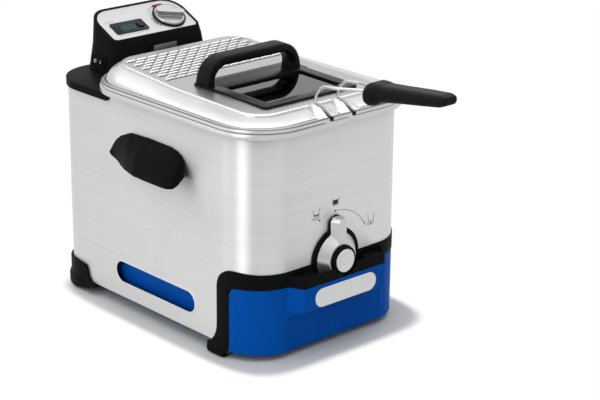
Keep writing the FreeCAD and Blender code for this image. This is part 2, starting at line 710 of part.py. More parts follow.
def make_basket_side():
    return basket_shell().common(basket_side_room())


def make_basket_ends():
    left = basket_side_room()
    walls = basket_shell().cut(block(-200, 200, -300, 200, 0, BASKET_FLOOR + BASKET_SHEET))
    return Part.makeCompound(walls.cut(left).cut(mirrored(left)).Solids)


def make_basket_rim():
    path = outline(BASKET_TOP, BASKET_EDGE + WIRE_R, 0.6)
    start = path.Edges[1].firstVertex().Point
    edges = path.Edges[1:] + path.Edges[:1]
    circle = Part.Wire([Part.makeCircle(WIRE_R, start, ALONG_Y)])
    return Part.Wire(edges).makePipeShell([circle], True, False)


def make_basket_bracket():
    back = BASKET_TOP["front"] + 0.6 - WIRE_R
    return rounded_block(-27, 27, WIRE_Y + WIRE_R, back, 246, BASKET_EDGE + 4, ALONG_Y, 4.0)


def wire_points(side):
    """Corners of one handle wire, from the bracket up, forward and into the grip."""
    places = [
        (WIRE_X, WIRE_Y, 248), (WIRE_X, WIRE_Y, 331.5), (WIRE_X, -222, 334),
        (9, -258, 337), (9, -279, 338.5),
    ]
    return [vec(side * x, y, z) for x, y, z in places]


def make_basket_handle_wires():
    return Part.makeCompound([bent_rod(wire_points(side), 13.0, WIRE_R) for side in (-1, 1)])


def grip_section(y, half_width, half_height, middle):
    """Rounded outline across the grip."""
    radius = half_height * 0.92
    plan = {
        "half": half_width, "front": -half_height, "rear": half_height, "front_r": radius, "rear_r": radius,
    }
    wire = outline(plan, 0)
    wire.rotate(vec(0, 0, 0), ALONG_X, 90)
    wire.translate(vec(0, y, middle))
    return wire


def make_basket_grip():
    neck = (-285, 16.6, 10.4, 341)
    collar = [(-263, 19.5, 12.5, 336.8), (-268, 21, 14.2, 337.4), (-276, 20, 13.2, 338.6), neck]
    bar = [
        neck, (-310, 15.5, 9.2, 344.4), (-350, 15.2, 8.2, 349.5), (-376, 14.2, 7.2, 352.6),
        (-383, 11.5, 5.2, 353.4), (-385, 9.0, 3.4, 353.6),
    ]
    grip = joined([loft([grip_section(*s) for s in collar]), loft([grip_section(*s) for s in bar])])
    for side in (-1, 1):
        start, end = wire_points(side)[3:]
        grip = grip.cut(rod(start, end, WIRE_R))
    return grip


# Lid

def lid_top(y):
    """Height of the lid plateau at a depth y: two planes that meet at the crease."""
    front = LID_FRONT_Z + LID_FRONT_SLOPE * (min(y, LID_CREASE_Y) - LID_PLATEAU["front"])
    return front + LID_REAR_SLOPE * max(0.0, y - LID_CREASE_Y)


def lid_ring(part_in, part_up, inset):
    """Edges round the lid at one stage between its foot and its plateau."""
    mixed = {}
    for key in LID_FOOT:
        mixed[key] = LID_FOOT[key] * (1 - part_in) + LID_PLATEAU[key] * part_in
    half, front, rear = mixed["half"] - inset, mixed["front"] + inset, mixed["rear"] - inset
    front_r, rear_r = mixed["front_r"] - inset, mixed["rear_r"] - inset

    def level(x, y):
        return LID_FOOT_Z * (1 - part_up) + lid_top(y) * part_up - inset

    def place(x, y):
        return vec(x, y, level(x, y))

    arcs = [
        corner_arc(half - front_r, front + front_r, front_r, -90, level),
        corner_arc(half - rear_r, rear - rear_r, rear_r, 0, level),
        corner_arc(rear_r - half, rear - rear_r, rear_r, 90, level),
        corner_arc(front_r - half, front + front_r, front_r, 180, level),
    ]
    right, left = place(half, LID_CREASE_Y), place(-half, LID_CREASE_Y)
    ends = [(arc.firstVertex().Point, arc.lastVertex().Point) for arc in arcs]
    return [
        arcs[0], Part.makeLine(ends[0][1], right), Part.makeLine(right, ends[1][0]), arcs[1],
        Part.makeLine(ends[1][1], ends[2][0]), arcs[2], Part.makeLine(ends[2][1], left),
        Part.makeLine(left, ends[3][0]), arcs[3], Part.makeLine(ends[3][1], ends[0][0]),
    ]


def lid_solid(inset):
    """Solid under the lid skin: level foot, hollowed flanks, top of two planes."""
    rings = [lid_ring(part_in, part_up, inset) for part_in, part_up in LID_COVE]
    faces = [Part.Face(Part.Wire(rings[0]))]
    for lower, upper in zip(rings, rings[1:]):
        for low_edge, high_edge in zip(lower, upper):
            faces.append(Part.makeRuledSurface(low_edge, high_edge))
    top = rings[-1]
    crease = Part.makeLine(top[1].lastVertex().Point, top[6].lastVertex().Point)
    faces.append(Part.Face(Part.Wire([top[8], top[9], top[0], top[1], crease, top[7]])))
    faces.append(Part.Face(Part.Wire([top[2], top[3], top[4], top[5], top[6], crease])))
    shell = Part.makeShell(faces)
    shell.sewShape()
    solid = Part.Solid(shell)
    if solid.Volume < 0:
        solid.reverse()
    return solid


def hood_profile(inset):
    """Side view of a wire hood, from the plateau forward and down to the flange."""
    return [
        (-166, 297), (-166, 309.0 - inset), (-183, 309.2 - inset), (-192, 307.6 - inset),
        (-200 + inset * 0.6, 304.0 - inset * 0.8), (-207 + inset * 0.8, 299.0 - inset * 0.4),
        (-209 + inset, 297),
    ]


def make_hood(inset):
    points = [vec(WIRE_X - HOOD_HALF + inset, y, z) for y, z in hood_profile(inset)]
    return slab(points, vec(2 * (HOOD_HALF - inset), 0, 0))


def vent_places():
    """Centres of the vent slots behind the crease, in staggered rows."""
    places = []
    for row in range(11):
        y = 5 + 8.0 * row
        count = 9 if row % 2 == 0 else 8
        for column in range(count):
            places.append((17.6 * (column - (count - 1) / 2), y))
    return places


def make_lid_pan():
    flange = prism(FLANGE, LID_BOTTOM, LID_FOOT_Z)
    flange = flange.makeFillet(2.4, edges_at_height(flange, LID_FOOT_Z))
    hollow = prism(FLANGE, LID_BOTTOM - 1, LID_FOOT_Z - LID_SHEET, LID_SHEET + 0.6)
    hoods = [make_hood(0.0), mirrored(make_hood(0.0))]
    hood_rooms = [make_hood(LID_SHEET), mirrored(make_hood(LID_SHEET))]
    pan = joined([flange.cut(hollow), lid_solid(0.0)] + hoods)
    inside = lid_solid(LID_SHEET)
    pan = pan.cut(inside)
    for cutter in hood_rooms:
        pan = pan.cut(cutter)
    window = block(-65, 65, WINDOW["front"] - 3, WINDOW["rear"] + 3, LID_FRONT_Z - 8, LID_FRONT_Z + 8)
    pan = pan.cut(on_lid(window))
    for side in (-1, 1):
        slit_x = side * WIRE_X
        pan = pan.cut(block(slit_x - HOOD_SLIT, slit_x + HOOD_SLIT, -230, -180, LID_BOTTOM - 5, 330))
    for x, y in lid_screw_places():
        pan = pan.cut(on_lid(rod(vec(x, y, LID_FRONT_Z - 9), vec(x, y, LID_FRONT_Z + 9), SCREW_R)))
    vents = [rounded_block(x - 6, x + 6, y - 1.4, y + 1.4, 305, 325, ALONG_Z, 1.3) for x, y in vent_places()]
    return pan.cut(Part.makeCompound(vents))


def lid_screw_places():
    return [(side * (LID_HANDLE["half"] - LID_HANDLE["bar"] / 2), -41.0) for side in (-1, 1)]


def make_lid_window_frame():
    top = LID_FRONT_Z + WINDOW_FRAME["proud"]
    frame = rounded_block(-WINDOW_FRAME["half"], WINDOW_FRAME["half"], WINDOW_FRAME["front"], -60,
                          LID_FRONT_Z, top, ALONG_Z, 6.0)
    base = rounded_block(-80, 80, -66, WINDOW_FRAME["rear"], LID_FRONT_Z, top, ALONG_Z, 5.0)
    hole = rounded_block(-WINDOW["half"], WINDOW["half"], WINDOW["front"], WINDOW["rear"],
                         LID_FRONT_Z - 5, top + 5, ALONG_Z, 3.0)
    plate = joined([frame, base]).cut(hole)
    for x, y in lid_screw_places():
        plate = plate.cut(rod(vec(x, y, LID_FRONT_Z - 9), vec(x, y, top + 9), SCREW_R))
    return on_lid(plate)


def make_lid_glass():
    front, rear = WINDOW["front"] - 2.6, WINDOW["rear"] + 2.6
    return on_lid(block(-64.6, 64.6, front, rear, LID_FRONT_Z - 3, LID_FRONT_Z))


def make_lid_handle():
    low = LID_FRONT_Z + WINDOW_FRAME["proud"]
    half, bar, top = LID_HANDLE["half"], LID_HANDLE["bar"], LID_HANDLE["top"]
    front, rear = LID_HANDLE["front"], LID_HANDLE["rear"]

    def arch(half_width, height, radius, y0, y1):
        solid = block(-half_width, half_width, y0, y1, low, height)
        ridges = [e for e in edges_along(solid, ALONG_Y) if e.CenterOfMass.z > low + 1]
        return solid.makeFillet(radius, ridges)

    outer = arch(half, top, LID_HANDLE["radius"], front, rear)
    inner = arch(half - bar, top - bar, LID_HANDLE["radius"] - bar, front - 5, rear + 5)
    handle = outer.cut(inner)
    for x, y in lid_screw_places():
        handle = handle.cut(rod(vec(x, y, low - 5), vec(x, y, low + 9), SCREW_R))
    return on_lid(handle)


def make_lid_handle_screws():
    under = LID_FRONT_Z - LID_SHEET
    screws = []
    for x, y in lid_screw_places():
        head = rod(vec(x, y, under - 2.4), vec(x, y, under), 4.0)
        shank = rod(vec(x, y, under), vec(x, y, LID_FRONT_Z + WINDOW_FRAME["proud"] + 9), SCREW_R)
        screws.append(on_lid(joined([head, shank])))
    return Part.makeCompound(screws)


def make_lid_filter():
    corners = []
    for y, drop in ((0.0, LID_SHEET), (95.0, LID_SHEET), (95.0, 11.0), (0.0, 11.0)):
        corners.append(vec(-84, y, lid_top(y) - drop))
    return slab(corners, vec(168, 0, 0))


# Control head

def head_half(z):
    """Half width of the head at a height on its lower flank."""
    share = (z - HEAD_BOTTOM) / (HEAD_WAIST_Z - HEAD_BOTTOM)
    return HEAD_FOOT_HALF + share * (HEAD_WAIST_HALF - HEAD_FOOT_HALF)


def head_plan(half, front, rear, front_r, rear_r):
    return {"half": half, "front": front, "rear": rear, "front_r": front_r, "rear_r": rear_r}


HEAD_FOOT = head_plan(HEAD_FOOT_HALF, 134.0, 203.5, 12.0, 28.0)
HEAD_WAIST = head_plan(HEAD_WAIST_HALF, 138.0, 202.0, 10.0, 28.0)
PANEL_PLAN = head_plan(PANEL_HALF, PANEL_EDGES[0], PANEL_EDGES[1], 5.5, 25.5)
TOP_EDGES = (PANEL_EDGES[0] - SHOULDER["front"], PANEL_EDGES[1] + SHOULDER["rear"])
HEAD_TOP = head_plan(PANEL_HALF + SHOULDER["side"], TOP_EDGES[0], TOP_EDGES[1], 9.0, 29.0)


def head_solid(inset, bottom, top_drop):
    """Head volume, shrunk by the inset; its top lies top_drop under the panel skin."""
    return loft([
        outline(HEAD_FOOT, bottom, inset),
        outline(HEAD_WAIST, HEAD_WAIST_Z, inset),
        on_panel(outline(HEAD_TOP, -top_drop, inset)),
    ])


def panel_rod(place, low, high, radius):
    return on_panel(rod(vec(place[0], place[1], low), vec(place[0], place[1], high), radius))


HEAD_SCREW_PLACES = [(-72.5, 146.0), (72.5, 146.0), (-66.0, 192.0), (66.0, 192.0)]
UNDER_PANEL = PANEL_SHEET + 2.4
LAMP_HALF = (8.5, 2.0)
DISPLAY_WINDOW = (-58.0, -5.0, 11.0, 33.5)
DISPLAY = (-46.0, -21.0, 15.0, 28.0)


def rocker_box(grow):
    """Body of the rocker switch inside the head wall, drawn against the plane x 0."""
    return block(-5, 14 + grow, -13 - grow, 13 + grow, -6.5 - grow, 6.5 + grow)


def make_head_housing():
    head = head_solid(0.0, HEAD_BOTTOM, 0.0)
    inside = head_solid(HEAD_WALL, HEAD_BASE_TOP, UNDER_PANEL)
    posts = []
    for x, y in HEAD_SCREW_PLACES:
        posts.append(rod(vec(x, y, HEAD_BASE_TOP), vec(x, y, 304), 4.0))
    head = head.cut(inside)
    head = joined([head] + [post.common(inside) for post in posts])
    head = head.cut(prism(HEAD_FOOT, HEAD_BOTTOM - 1, HEAD_BASE_TOP, HEAD_WALL + 0.6))
    head = head.cut(on_panel(prism(PANEL_PLAN, -PANEL_SHEET, 5)))
    head = head.cut(panel_rod(BUTTON, -9, 5, BUTTON_R + 0.4))
    head = head.cut(panel_rod(TEMP_KNOB, -9, 5, 4.0))
    head = head.cut(on_panel(lamp_block(-9, 5)))
    head = head.cut(element_plate())
    head = head.cut(make_basket_hook())
    head = head.cut(on_rocker_wall(rocker_box(0.0)))
    head = head.cut(rod(vec(GLAND_X, 180, GLAND_Z), vec(GLAND_X, 220, GLAND_Z), 7.0))
    for x, y in HEAD_SCREW_PLACES:
        head = head.cut(rod(vec(x, y, HEAD_BASE_TOP - 1), vec(x, y, 300), 1.5))
    return head


def make_head_base():
    base = prism(HEAD_FOOT, HEAD_BOTTOM, HEAD_BASE_TOP, HEAD_WALL + 0.6)
    pegs = [rod(vec(x, DOCK_Y, 277), vec(x, DOCK_Y, HEAD_BOTTOM), 6.0) for x in (-DOCK_X, DOCK_X)]
    base = joined([base] + pegs)
    for x, y in HEAD_SCREW_PLACES:
        base = base.cut(rod(vec(x, y, HEAD_BOTTOM - 1), vec(x, y, HEAD_BOTTOM + 2.2), 3.0))
        base = base.cut(rod(vec(x, y, HEAD_BOTTOM), vec(x, y, HEAD_BASE_TOP + 1), 1.5))
    return base


def make_head_screws():
    screws = []
    for x, y in HEAD_SCREW_PLACES:
        head = rod(vec(x, y, HEAD_BOTTOM + 0.3), vec(x, y, HEAD_BOTTOM + 2.2), 3.0)
        shank = rod(vec(x, y, HEAD_BOTTOM + 2.2), vec(x, y, 300), 1.5)
        screws.append(joined([head, shank]))
    return Part.makeCompound(screws)


def lamp_block(low, high):
    x, v = LAMP
    return rounded_block(x - LAMP_HALF[0], x + LAMP_HALF[0], v - LAMP_HALF[1], v + LAMP_HALF[1],
                         low, high, ALONG_Z, 1.9)


def make_head_panel():
    panel = prism(PANEL_PLAN, -PANEL_SHEET, 0)
    x0, x1, v0, v1 = DISPLAY
    panel = panel.cut(block(x0, x1, v0, v1, -5, 5))
    panel = panel.cut(lamp_block(-5, 5))
    for place, radius in ((BUTTON, BUTTON_R + 0.4), (TEMP_KNOB, 4.0)):
        panel = panel.cut(rod(vec(place[0], place[1], -5), vec(place[0], place[1], 5), radius))
    return on_panel(panel)


def make_display_window():
    x0, x1, v0, v1 = DISPLAY_WINDOW
    window = rounded_block(x0, x1, v0, v1, 0, 1.0, ALONG_Z, 3.0)
    button_hole = rod(vec(BUTTON[0], BUTTON[1], -5), vec(BUTTON[0], BUTTON[1], 5), BUTTON_R + 0.4)
    return on_panel(window.cut(button_hole))


def make_lcd_display():
    x0, x1, v0, v1 = DISPLAY
    return on_panel(block(x0, x1, v0, v1, -PANEL_SHEET, 0))


def make_indicator_lamp():
    return on_panel(lamp_block(-UNDER_PANEL, 0.8))


def make_temp_knob_ring():
    x, v = TEMP_KNOB
    ring = rod(vec(x, v, 0), vec(x, v, 2.6), TEMP_KNOB_R + 1.3)
    return on_panel(ring.cut(rod(vec(x, v, -1), vec(x, v, 4), TEMP_KNOB_R + 0.5)))


def make_temp_knob():
    x, v = TEMP_KNOB
    skirt = cone(vec(x, v, 0.5), vec(x, v, 4.2), TEMP_KNOB_R, TEMP_KNOB_R - 1.6)
    bar = rounded_block(x - 20, x + 20, v - 5, v + 5, 3.0, 11.0, ALONG_Z, 4.5)
    bar.rotate(vec(x, v, 0), ALONG_Z, -20)
    knob = joined([skirt, bar])
    return on_panel(knob.cut(rod(vec(x, v, 0), vec(x, v, 8), 3.0)))


def make_temp_shaft():
    return panel_rod(TEMP_KNOB, -15, 8, 3.0)


def make_thermostat():
    can = panel_rod(TEMP_KNOB, -26, -UNDER_PANEL, 13.0)
    return can.cut(panel_rod(TEMP_KNOB, -16, 5, 3.0 + PLUG_FIT))


def make_control_board():
    board = block(-58, 20, 8, 44, -14.0, -12.4)
    posts = []
    for x, v in ((-52, 14), (14, 14), (-52, 38), (14, 38)):
        posts.append(rod(vec(x, v, -12.4), vec(x, v, -UNDER_PANEL), 3.0))
    chips = [block(-40, -24, 18, 34, -18, -14.0), block(-10, 8, 20, 32, -20, -14.0)]
    return on_panel(joined([board] + posts + chips))


def make_timer_button():
    x, v = BUTTON
    stem = rod(vec(x, v, -4.5), vec(x, v, 2.4), BUTTON_R)
    lip = [e for e in stem.Edges if abs(e.CenterOfMass.z - 2.4) < 1e-6]
    return on_panel(stem.makeFillet(0.7, lip))


def make_rocker_frame():
    plate = rounded_block(-1.6, 0, -15, 15, -8.5, 8.5, ALONG_X, 2.5)
    box = block(0, 14, -13, 13, -6.5, 6.5)
    well = block(-5, 12.5, -11.2, 11.2, -5.4, 5.4)
    return on_rocker_wall(joined([plate, box]).cut(well))


def make_rocker_switch():
    side_view = [(-2.8, -10.4), (-1.6, 0), (-2.8, 10.4), (4.0, 10.0), (4.0, -10.0)]
    points = [vec(x, y, -5.0) for x, y in side_view]
    cap = slab(points, vec(0, 0, 10.0))
    pivot = rod(vec(0.5, 0, -5.3), vec(0.5, 0, 5.3), 1.5)
    return on_rocker_wall(joined([cap, pivot]))


GLAND_X = 42.0
GLAND_Z = 305.0


def make_cord_gland():
    bush = rod(vec(GLAND_X, 197, GLAND_Z), vec(GLAND_X, 204.8, GLAND_Z), 7.0)
    flange = rod(vec(GLAND_X, 197, GLAND_Z), vec(GLAND_X, 199.4, GLAND_Z), 9.5)
    return joined([bush, flange]).cut(rod(vec(GLAND_X, 190, GLAND_Z), vec(GLAND_X, 210, GLAND_Z), 3.5))


def element_plate():
    return block(-46, 46, 103, 142, HEAD_BASE_TOP, HEAD_BASE_TOP + 2)


def make_element_bracket():
    drop = block(-46, 46, 101, 103, 258, HEAD_BASE_TOP + 2)
    return joined([element_plate(), drop])


def make_heating_element():
    y = 101 - ELEMENT_R
    half = [(-30, y, 282), (-30, y, ELEMENT_Z), (-30, 68, ELEMENT_Z), (-88, 68, ELEMENT_Z),
            (-88, -150, ELEMENT_Z), (-35, -150, ELEMENT_Z), (-35, 30, ELEMENT_Z)]
    places = half + [(-px, py, pz) for px, py, pz in reversed(half)]
    return bent_rod([vec(*place) for place in places], 13.0, ELEMENT_R)


def make_sensor_tube():
    return bent_rod([vec(0, 99, 284), vec(0, 99, 150), vec(0, 42, 150)], 10.0, 2.0)


def make_basket_hook():
    strip = block(-19, 19, 126, 136.2, 309, 310.5)
    lip = block(-19, 19, 126, 127.5, 309, 318)
    foot = block(-19, 19, 136.2, 139.8, 309, 310.5)
    return joined([strip, lip, foot])


PIECES = {
    "outer_housing": make_outer_housing(),
    "front_bezel": make_front_bezel(),
    "rear_foot_left": make_rear_foot(),
    "rear_foot_right": mirrored(make_rear_foot()),
    "foot_pads": make_foot_pads(),
    "rear_deck": make_rear_deck(),
    "side_handle_left": make_side_handle(),
    "side_handle_right": mirrored(make_side_handle()),
    "side_handle_screws": make_side_handle_screws(),
    "drawer_rail_left": make_drawer_rail(),
    "drawer_rail_right": mirrored(make_drawer_rail()),
    "heat_shield": make_heat_shield(),
    "shaft_bush": make_shaft_bush(),
    "drain_valve_body": make_drain_valve_body(),
    "valve_screws": make_valve_screws(),
    "drain_seal": make_drain_seal(),
    "drain_knob_base": make_drain_knob_base(),
    "drain_knob": make_drain_knob(),
    "drain_knob_hub": make_drain_knob_hub(),
    "drain_knob_disc": make_drain_knob_disc(),
    "drain_shaft": make_drain_shaft(),
    "drain_plug": make_drain_plug(),
    "oil_box": make_oil_box(),
    "oil_box_badge": make_oil_box_badge(),
    "bowl": make_bowl(),
    "drain_filter": make_drain_filter(),
    "basket": make_basket(),
    "basket_side_left": make_basket_side(),
    "basket_side_right": mirrored(make_basket_side()),
    "basket_ends": make_basket_ends(),
    "basket_rim": make_basket_rim(),
    "basket_bracket": make_basket_bracket(),
    "basket_handle_wires": make_basket_handle_wires(),
    "basket_grip": make_basket_grip(),
    "lid_pan": make_lid_pan(),
    "lid_window_frame": make_lid_window_frame(),
    "lid_glass": make_lid_glass(),
    "lid_handle": make_lid_handle(),
    "lid_handle_screws": make_lid_handle_screws(),
    "lid_filter": make_lid_filter(),
    "head_housing": make_head_housing(),
    "head_base": make_head_base(),
    "head_screws": make_head_screws(),
    "head_panel": make_head_panel(),
    "display_window": make_display_window(),
    "lcd_display": make_lcd_display(),
    "indicator_lamp": make_indicator_lamp(),
    "temp_knob_ring": make_temp_knob_ring(),
    "temp_knob": make_temp_knob(),
    "temp_shaft": make_temp_shaft(),
    "thermostat": make_thermostat(),
    "control_board": make_control_board(),
    "timer_button": make_timer_button(),
    "rocker_frame": make_rocker_frame(),
    "rocker_switch": make_rocker_switch(),
    "cord_gland": make_cord_gland(),
    "element_bracket": make_element_bracket(),
    "heating_element": make_heating_element(),
    "sensor_tube": make_sensor_tube(),
    "basket_hook": make_basket_hook(),
}

for name, shape in PIECES.items():
    shape.translate(vec(0, SHIFT_Y, 0))
    shape.exportStep("parts/" + name + ".step")
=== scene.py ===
"""Deep fryer with a pull-out oil box, dressed for rendering on the fixed frame of its solids."""
import logging
import math
from contextlib import contextmanager
from dataclasses import astuple, dataclass, field
from enum import Enum
from typing import Callable, Iterable, Iterator, Optional, Sequence, Union

import bmesh
import bpy
from mathutils import Matrix, Vector


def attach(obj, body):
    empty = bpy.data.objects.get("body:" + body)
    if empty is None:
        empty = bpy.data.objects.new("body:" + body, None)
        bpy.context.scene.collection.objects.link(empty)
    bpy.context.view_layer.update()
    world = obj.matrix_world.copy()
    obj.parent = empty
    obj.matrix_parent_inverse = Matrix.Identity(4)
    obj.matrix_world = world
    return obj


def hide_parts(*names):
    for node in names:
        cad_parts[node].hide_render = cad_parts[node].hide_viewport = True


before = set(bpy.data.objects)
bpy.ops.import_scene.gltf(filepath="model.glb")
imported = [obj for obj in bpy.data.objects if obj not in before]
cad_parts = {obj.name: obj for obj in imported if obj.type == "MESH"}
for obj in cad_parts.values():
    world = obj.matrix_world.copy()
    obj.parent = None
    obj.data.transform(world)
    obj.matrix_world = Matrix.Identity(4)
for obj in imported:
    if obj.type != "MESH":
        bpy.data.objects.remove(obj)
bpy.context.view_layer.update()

MM = 0.001
SHIFT_Y = 88.75
SIDES = ((-1, "left"), (1, "right"))
# Points closer than these, in metres, are one point
SAME_POINT = 1e-6
SAME_WIRE_POINT = 1e-7
SAME_SOLID_POINT = 2e-6
SAME_LOUVRE_POINT = 2e-5
# A point of a flat plate this near a cut, in millimetres, lies on it
ON_CUT = 1e-4
SMALLEST_RADIUS = 0.05
# Point inside the housing that bent plates face away from
PLATE_HEART = (0.0, 0.0, 120.0)
log = logging.getLogger("fryer")

Flat = tuple[float, float]
Spot = tuple[float, float, float]
Colour = tuple[float, float, float]
Plane = tuple[Spot, Spot]
Shape = list[Flat]
Table = tuple[Flat, ...]
Paths = Sequence[Sequence[Spot]]
Face = bpy.types.MeshPolygon
Piece = bpy.types.Object
Tree = bpy.types.NodeTree
Node = bpy.types.Node
Socket = bpy.types.NodeSocket
Inputs = dict[Union[str, int], object]


# Measures and mesh tools

def row(place: Sequence[float]) -> Vector:
    """Point of the drawing, in millimetres about the housing, as a point of the frame in metres."""
    return Vector((place[0] * MM, (place[1] + SHIFT_Y) * MM, place[2] * MM))


def drawn(point: Vector) -> Spot:
    """Point of the frame as a point of the drawing."""
    return point.x / MM, point.y / MM - SHIFT_Y, point.z / MM


def smooth_step(value: float, low: float, high: float) -> float:
    """Eased share of the way from low to high, held at 0 and 1 outside."""
    share = min(1.0, max(0.0, (value - low) / (high - low)))
    return share * share * (3.0 - 2.0 * share)


def rounded_off(share: float, power: float) -> float:
    """Height of a rounded corner that falls from 1 to 0; a higher power makes it squarer."""
    return max(0.0, 1 - share ** power) ** (1 / power)


def between(value: float, table: Sequence[Flat]) -> float:
    """Straight-line reading of a table.

    Args:
        value: place to read at.
        table: pairs of place and height, in rising order of place.

    Returns:
        The height there, held at the ends.
    """
    if value <= table[0][0]:
        return table[0][1]
    for (x0, y0), (x1, y1) in zip(table, table[1:]):
        if value <= x1:
            return y0 + (y1 - y0) * (value - x0) / (x1 - x0)
    return table[-1][1]


def arc(centre: Flat, radius: float, start: float, end: float, steps: int) -> Shape:
    """Points of a circular arc.

    Args:
        centre: middle of the circle.
        radius: its radius.
        start, end: angles of the two ends in degrees.
        steps: pieces of the arc.

    Returns:
        The points, both ends included.
    """
    turns = [math.radians(start + (end - start) * step / steps) for step in range(steps + 1)]
    return [(centre[0] + radius * math.cos(turn), centre[1] + radius * math.sin(turn)) for turn in turns]


def rounded_loop(x0: float, x1: float, y0: float, y1: float, radius: float, steps: int) -> Shape:
    """Rounded rectangle as a loop of points, counter-clockwise.

    Args:
        x0, x1, y0, y1: sides of the rectangle.
        radius: corner radius.
        steps: pieces of each corner.

    Returns:
        The points of the loop.
    """
    centres = ((x1 - radius, y0 + radius), (x1 - radius, y1 - radius), (x0 + radius, y1 - radius),
               (x0 + radius, y0 + radius))
    loop = []
    for centre, start in zip(centres, (-90, 0, 90, 180)):
        loop += arc(centre, radius, start, start + 90, steps)
    return loop


@dataclass(frozen=True)
class Plan:
    """Rectangle seen from above with two front and two rear corner radii, in millimetres."""

    half: float
    front: float
    rear: float
    front_r: float
    rear_r: float

    def mixed(self, other: "Plan", share: float) -> "Plan":
        """Plan that lies between this one and another."""
        pairs = zip(astuple(self), astuple(other))
        return Plan(*[a * (1 - share) + b * share for a, b in pairs])

    def holds(self, x: float, y: float, inset: float) -> bool:
        """Whether a point lies inside the outline.

        Args:
            x, y: the point.
            inset: distance the outline is drawn in.

        Returns:
            True for a point inside.
        """
        out, ahead, behind = abs(x) - self.half, self.front - y, y - self.rear
        radius = self.front_r if ahead > behind else self.rear_r
        end = max(ahead, behind)
        if out > -radius and end > -radius:
            return math.hypot(out + radius, end + radius) < radius - inset
        return out < -inset and end < -inset

    def loop(self, inset: float = 0.0, side_cuts: Sequence[float] = (), steps: int = 18) -> Shape:
        """Outline from the left end of the front edge, counter-clockwise seen from above.

        Args:
            inset: distance the outline is drawn in.
            side_cuts: extra depths y at which both sides get a point.
            steps: pieces of each corner.

        Returns:
            Points (x, y), the same count for every plan with the same cuts and steps.
        """
        half, front, rear = self.half - inset, self.front + inset, self.rear - inset
        front_r, rear_r = (max(SMALLEST_RADIUS, radius - inset) for radius in (self.front_r, self.rear_r))
        loop = arc((half - front_r, front + front_r), front_r, -90, 0, steps)
        loop += [(half, y) for y in side_cuts]
        loop += arc((half - rear_r, rear - rear_r), rear_r, 0, 90, steps)
        loop += arc((rear_r - half, rear - rear_r), rear_r, 90, 180, steps)
        loop += [(-half, y) for y in reversed(side_cuts)]
        loop += arc((front_r - half, front + front_r), front_r, 180, 270, steps)
        return loop

    def level(self, z: float, inset: float = 0.0, side_cuts: Sequence[float] = (),
              steps: int = 18) -> list[Spot]:
        """Outline at a height; the other values are those of loop."""
        return [(x, y, z) for x, y in self.loop(inset, side_cuts, steps)]


@dataclass
class Wrap:
    """Outline of the housing, measured along its skin from the middle of the front."""

    half: float = 132.5
    front: float = -201.5
    corner: float = 58.0
    margin: float = 3.0
    corner_steps: int = 22

    def __post_init__(self) -> None:
        """Works out the length of a corner and where corners, side and rear middle lie along the skin."""
        self.arc: float = self.corner * math.pi / 2
        self.corner_start: float = self.half - self.corner
        self.side_start: float = self.corner_start + self.arc
        self.rear_corner: float = self.side_start + 2 * (-self.front - self.corner)
        self.end: float = self.rear_corner + self.arc + self.corner_start

    def along_side(self, y: float) -> float:
        """Distance along the skin of the place y on the straight side."""
        return self.side_start + y - self.front - self.corner

    def place(self, along: float, out: float) -> Flat:
        """Point seen from above for a place on the skin.

        Args:
            along: signed distance along the skin.
            out: distance outside it.

        Returns:
            The point (x, y).
        """
        reach, sign = abs(along), math.copysign(1.0, along)
        radius = self.corner + out
        if reach < self.corner_start:
            return along, self.front - out
        if reach < self.side_start:
            turn = (reach - self.corner_start) / self.corner
            return (sign * (self.corner_start + radius * math.sin(turn)),
                    self.front + self.corner - radius * math.cos(turn))
        if reach < self.rear_corner:
            return sign * (self.half + out), self.front + self.corner + reach - self.side_start
        if reach < self.rear_corner + self.arc:
            turn = (reach - self.rear_corner) / self.corner
            return (sign * (self.corner_start + radius * math.cos(turn)),
                    -self.front - self.corner + radius * math.sin(turn))
        return sign * (self.end - reach), -self.front + out

    def cuts(self, low: float, high: float) -> list[float]:
        """Places where a flat plate is cut so that it can bend round the corners.

        Args:
            low, high: ends of the plate along the skin.

        Returns:
            The places in rising order.
        """
        found = []
        for start in (self.corner_start, self.rear_corner):
            found += [start - self.margin, start + self.arc + self.margin]
            found += [start + self.arc * step / self.corner_steps for step in range(self.corner_steps + 1)]
        both = found + [-cut for cut in found]
        return [cut for cut in sorted(both) if low < cut < high]


WRAP = Wrap()


@contextmanager
def edited(mesh: bpy.types.Mesh) -> Iterator[bmesh.types.BMesh]:
    """Opens a mesh for changes in a with statement and writes them back at its end.

    Args:
        mesh: the mesh to change.

    Returns:
        The open mesh.
    """
    work = bmesh.new()
    work.from_mesh(mesh)
    yield work
    work.to_mesh(mesh)
    work.free()


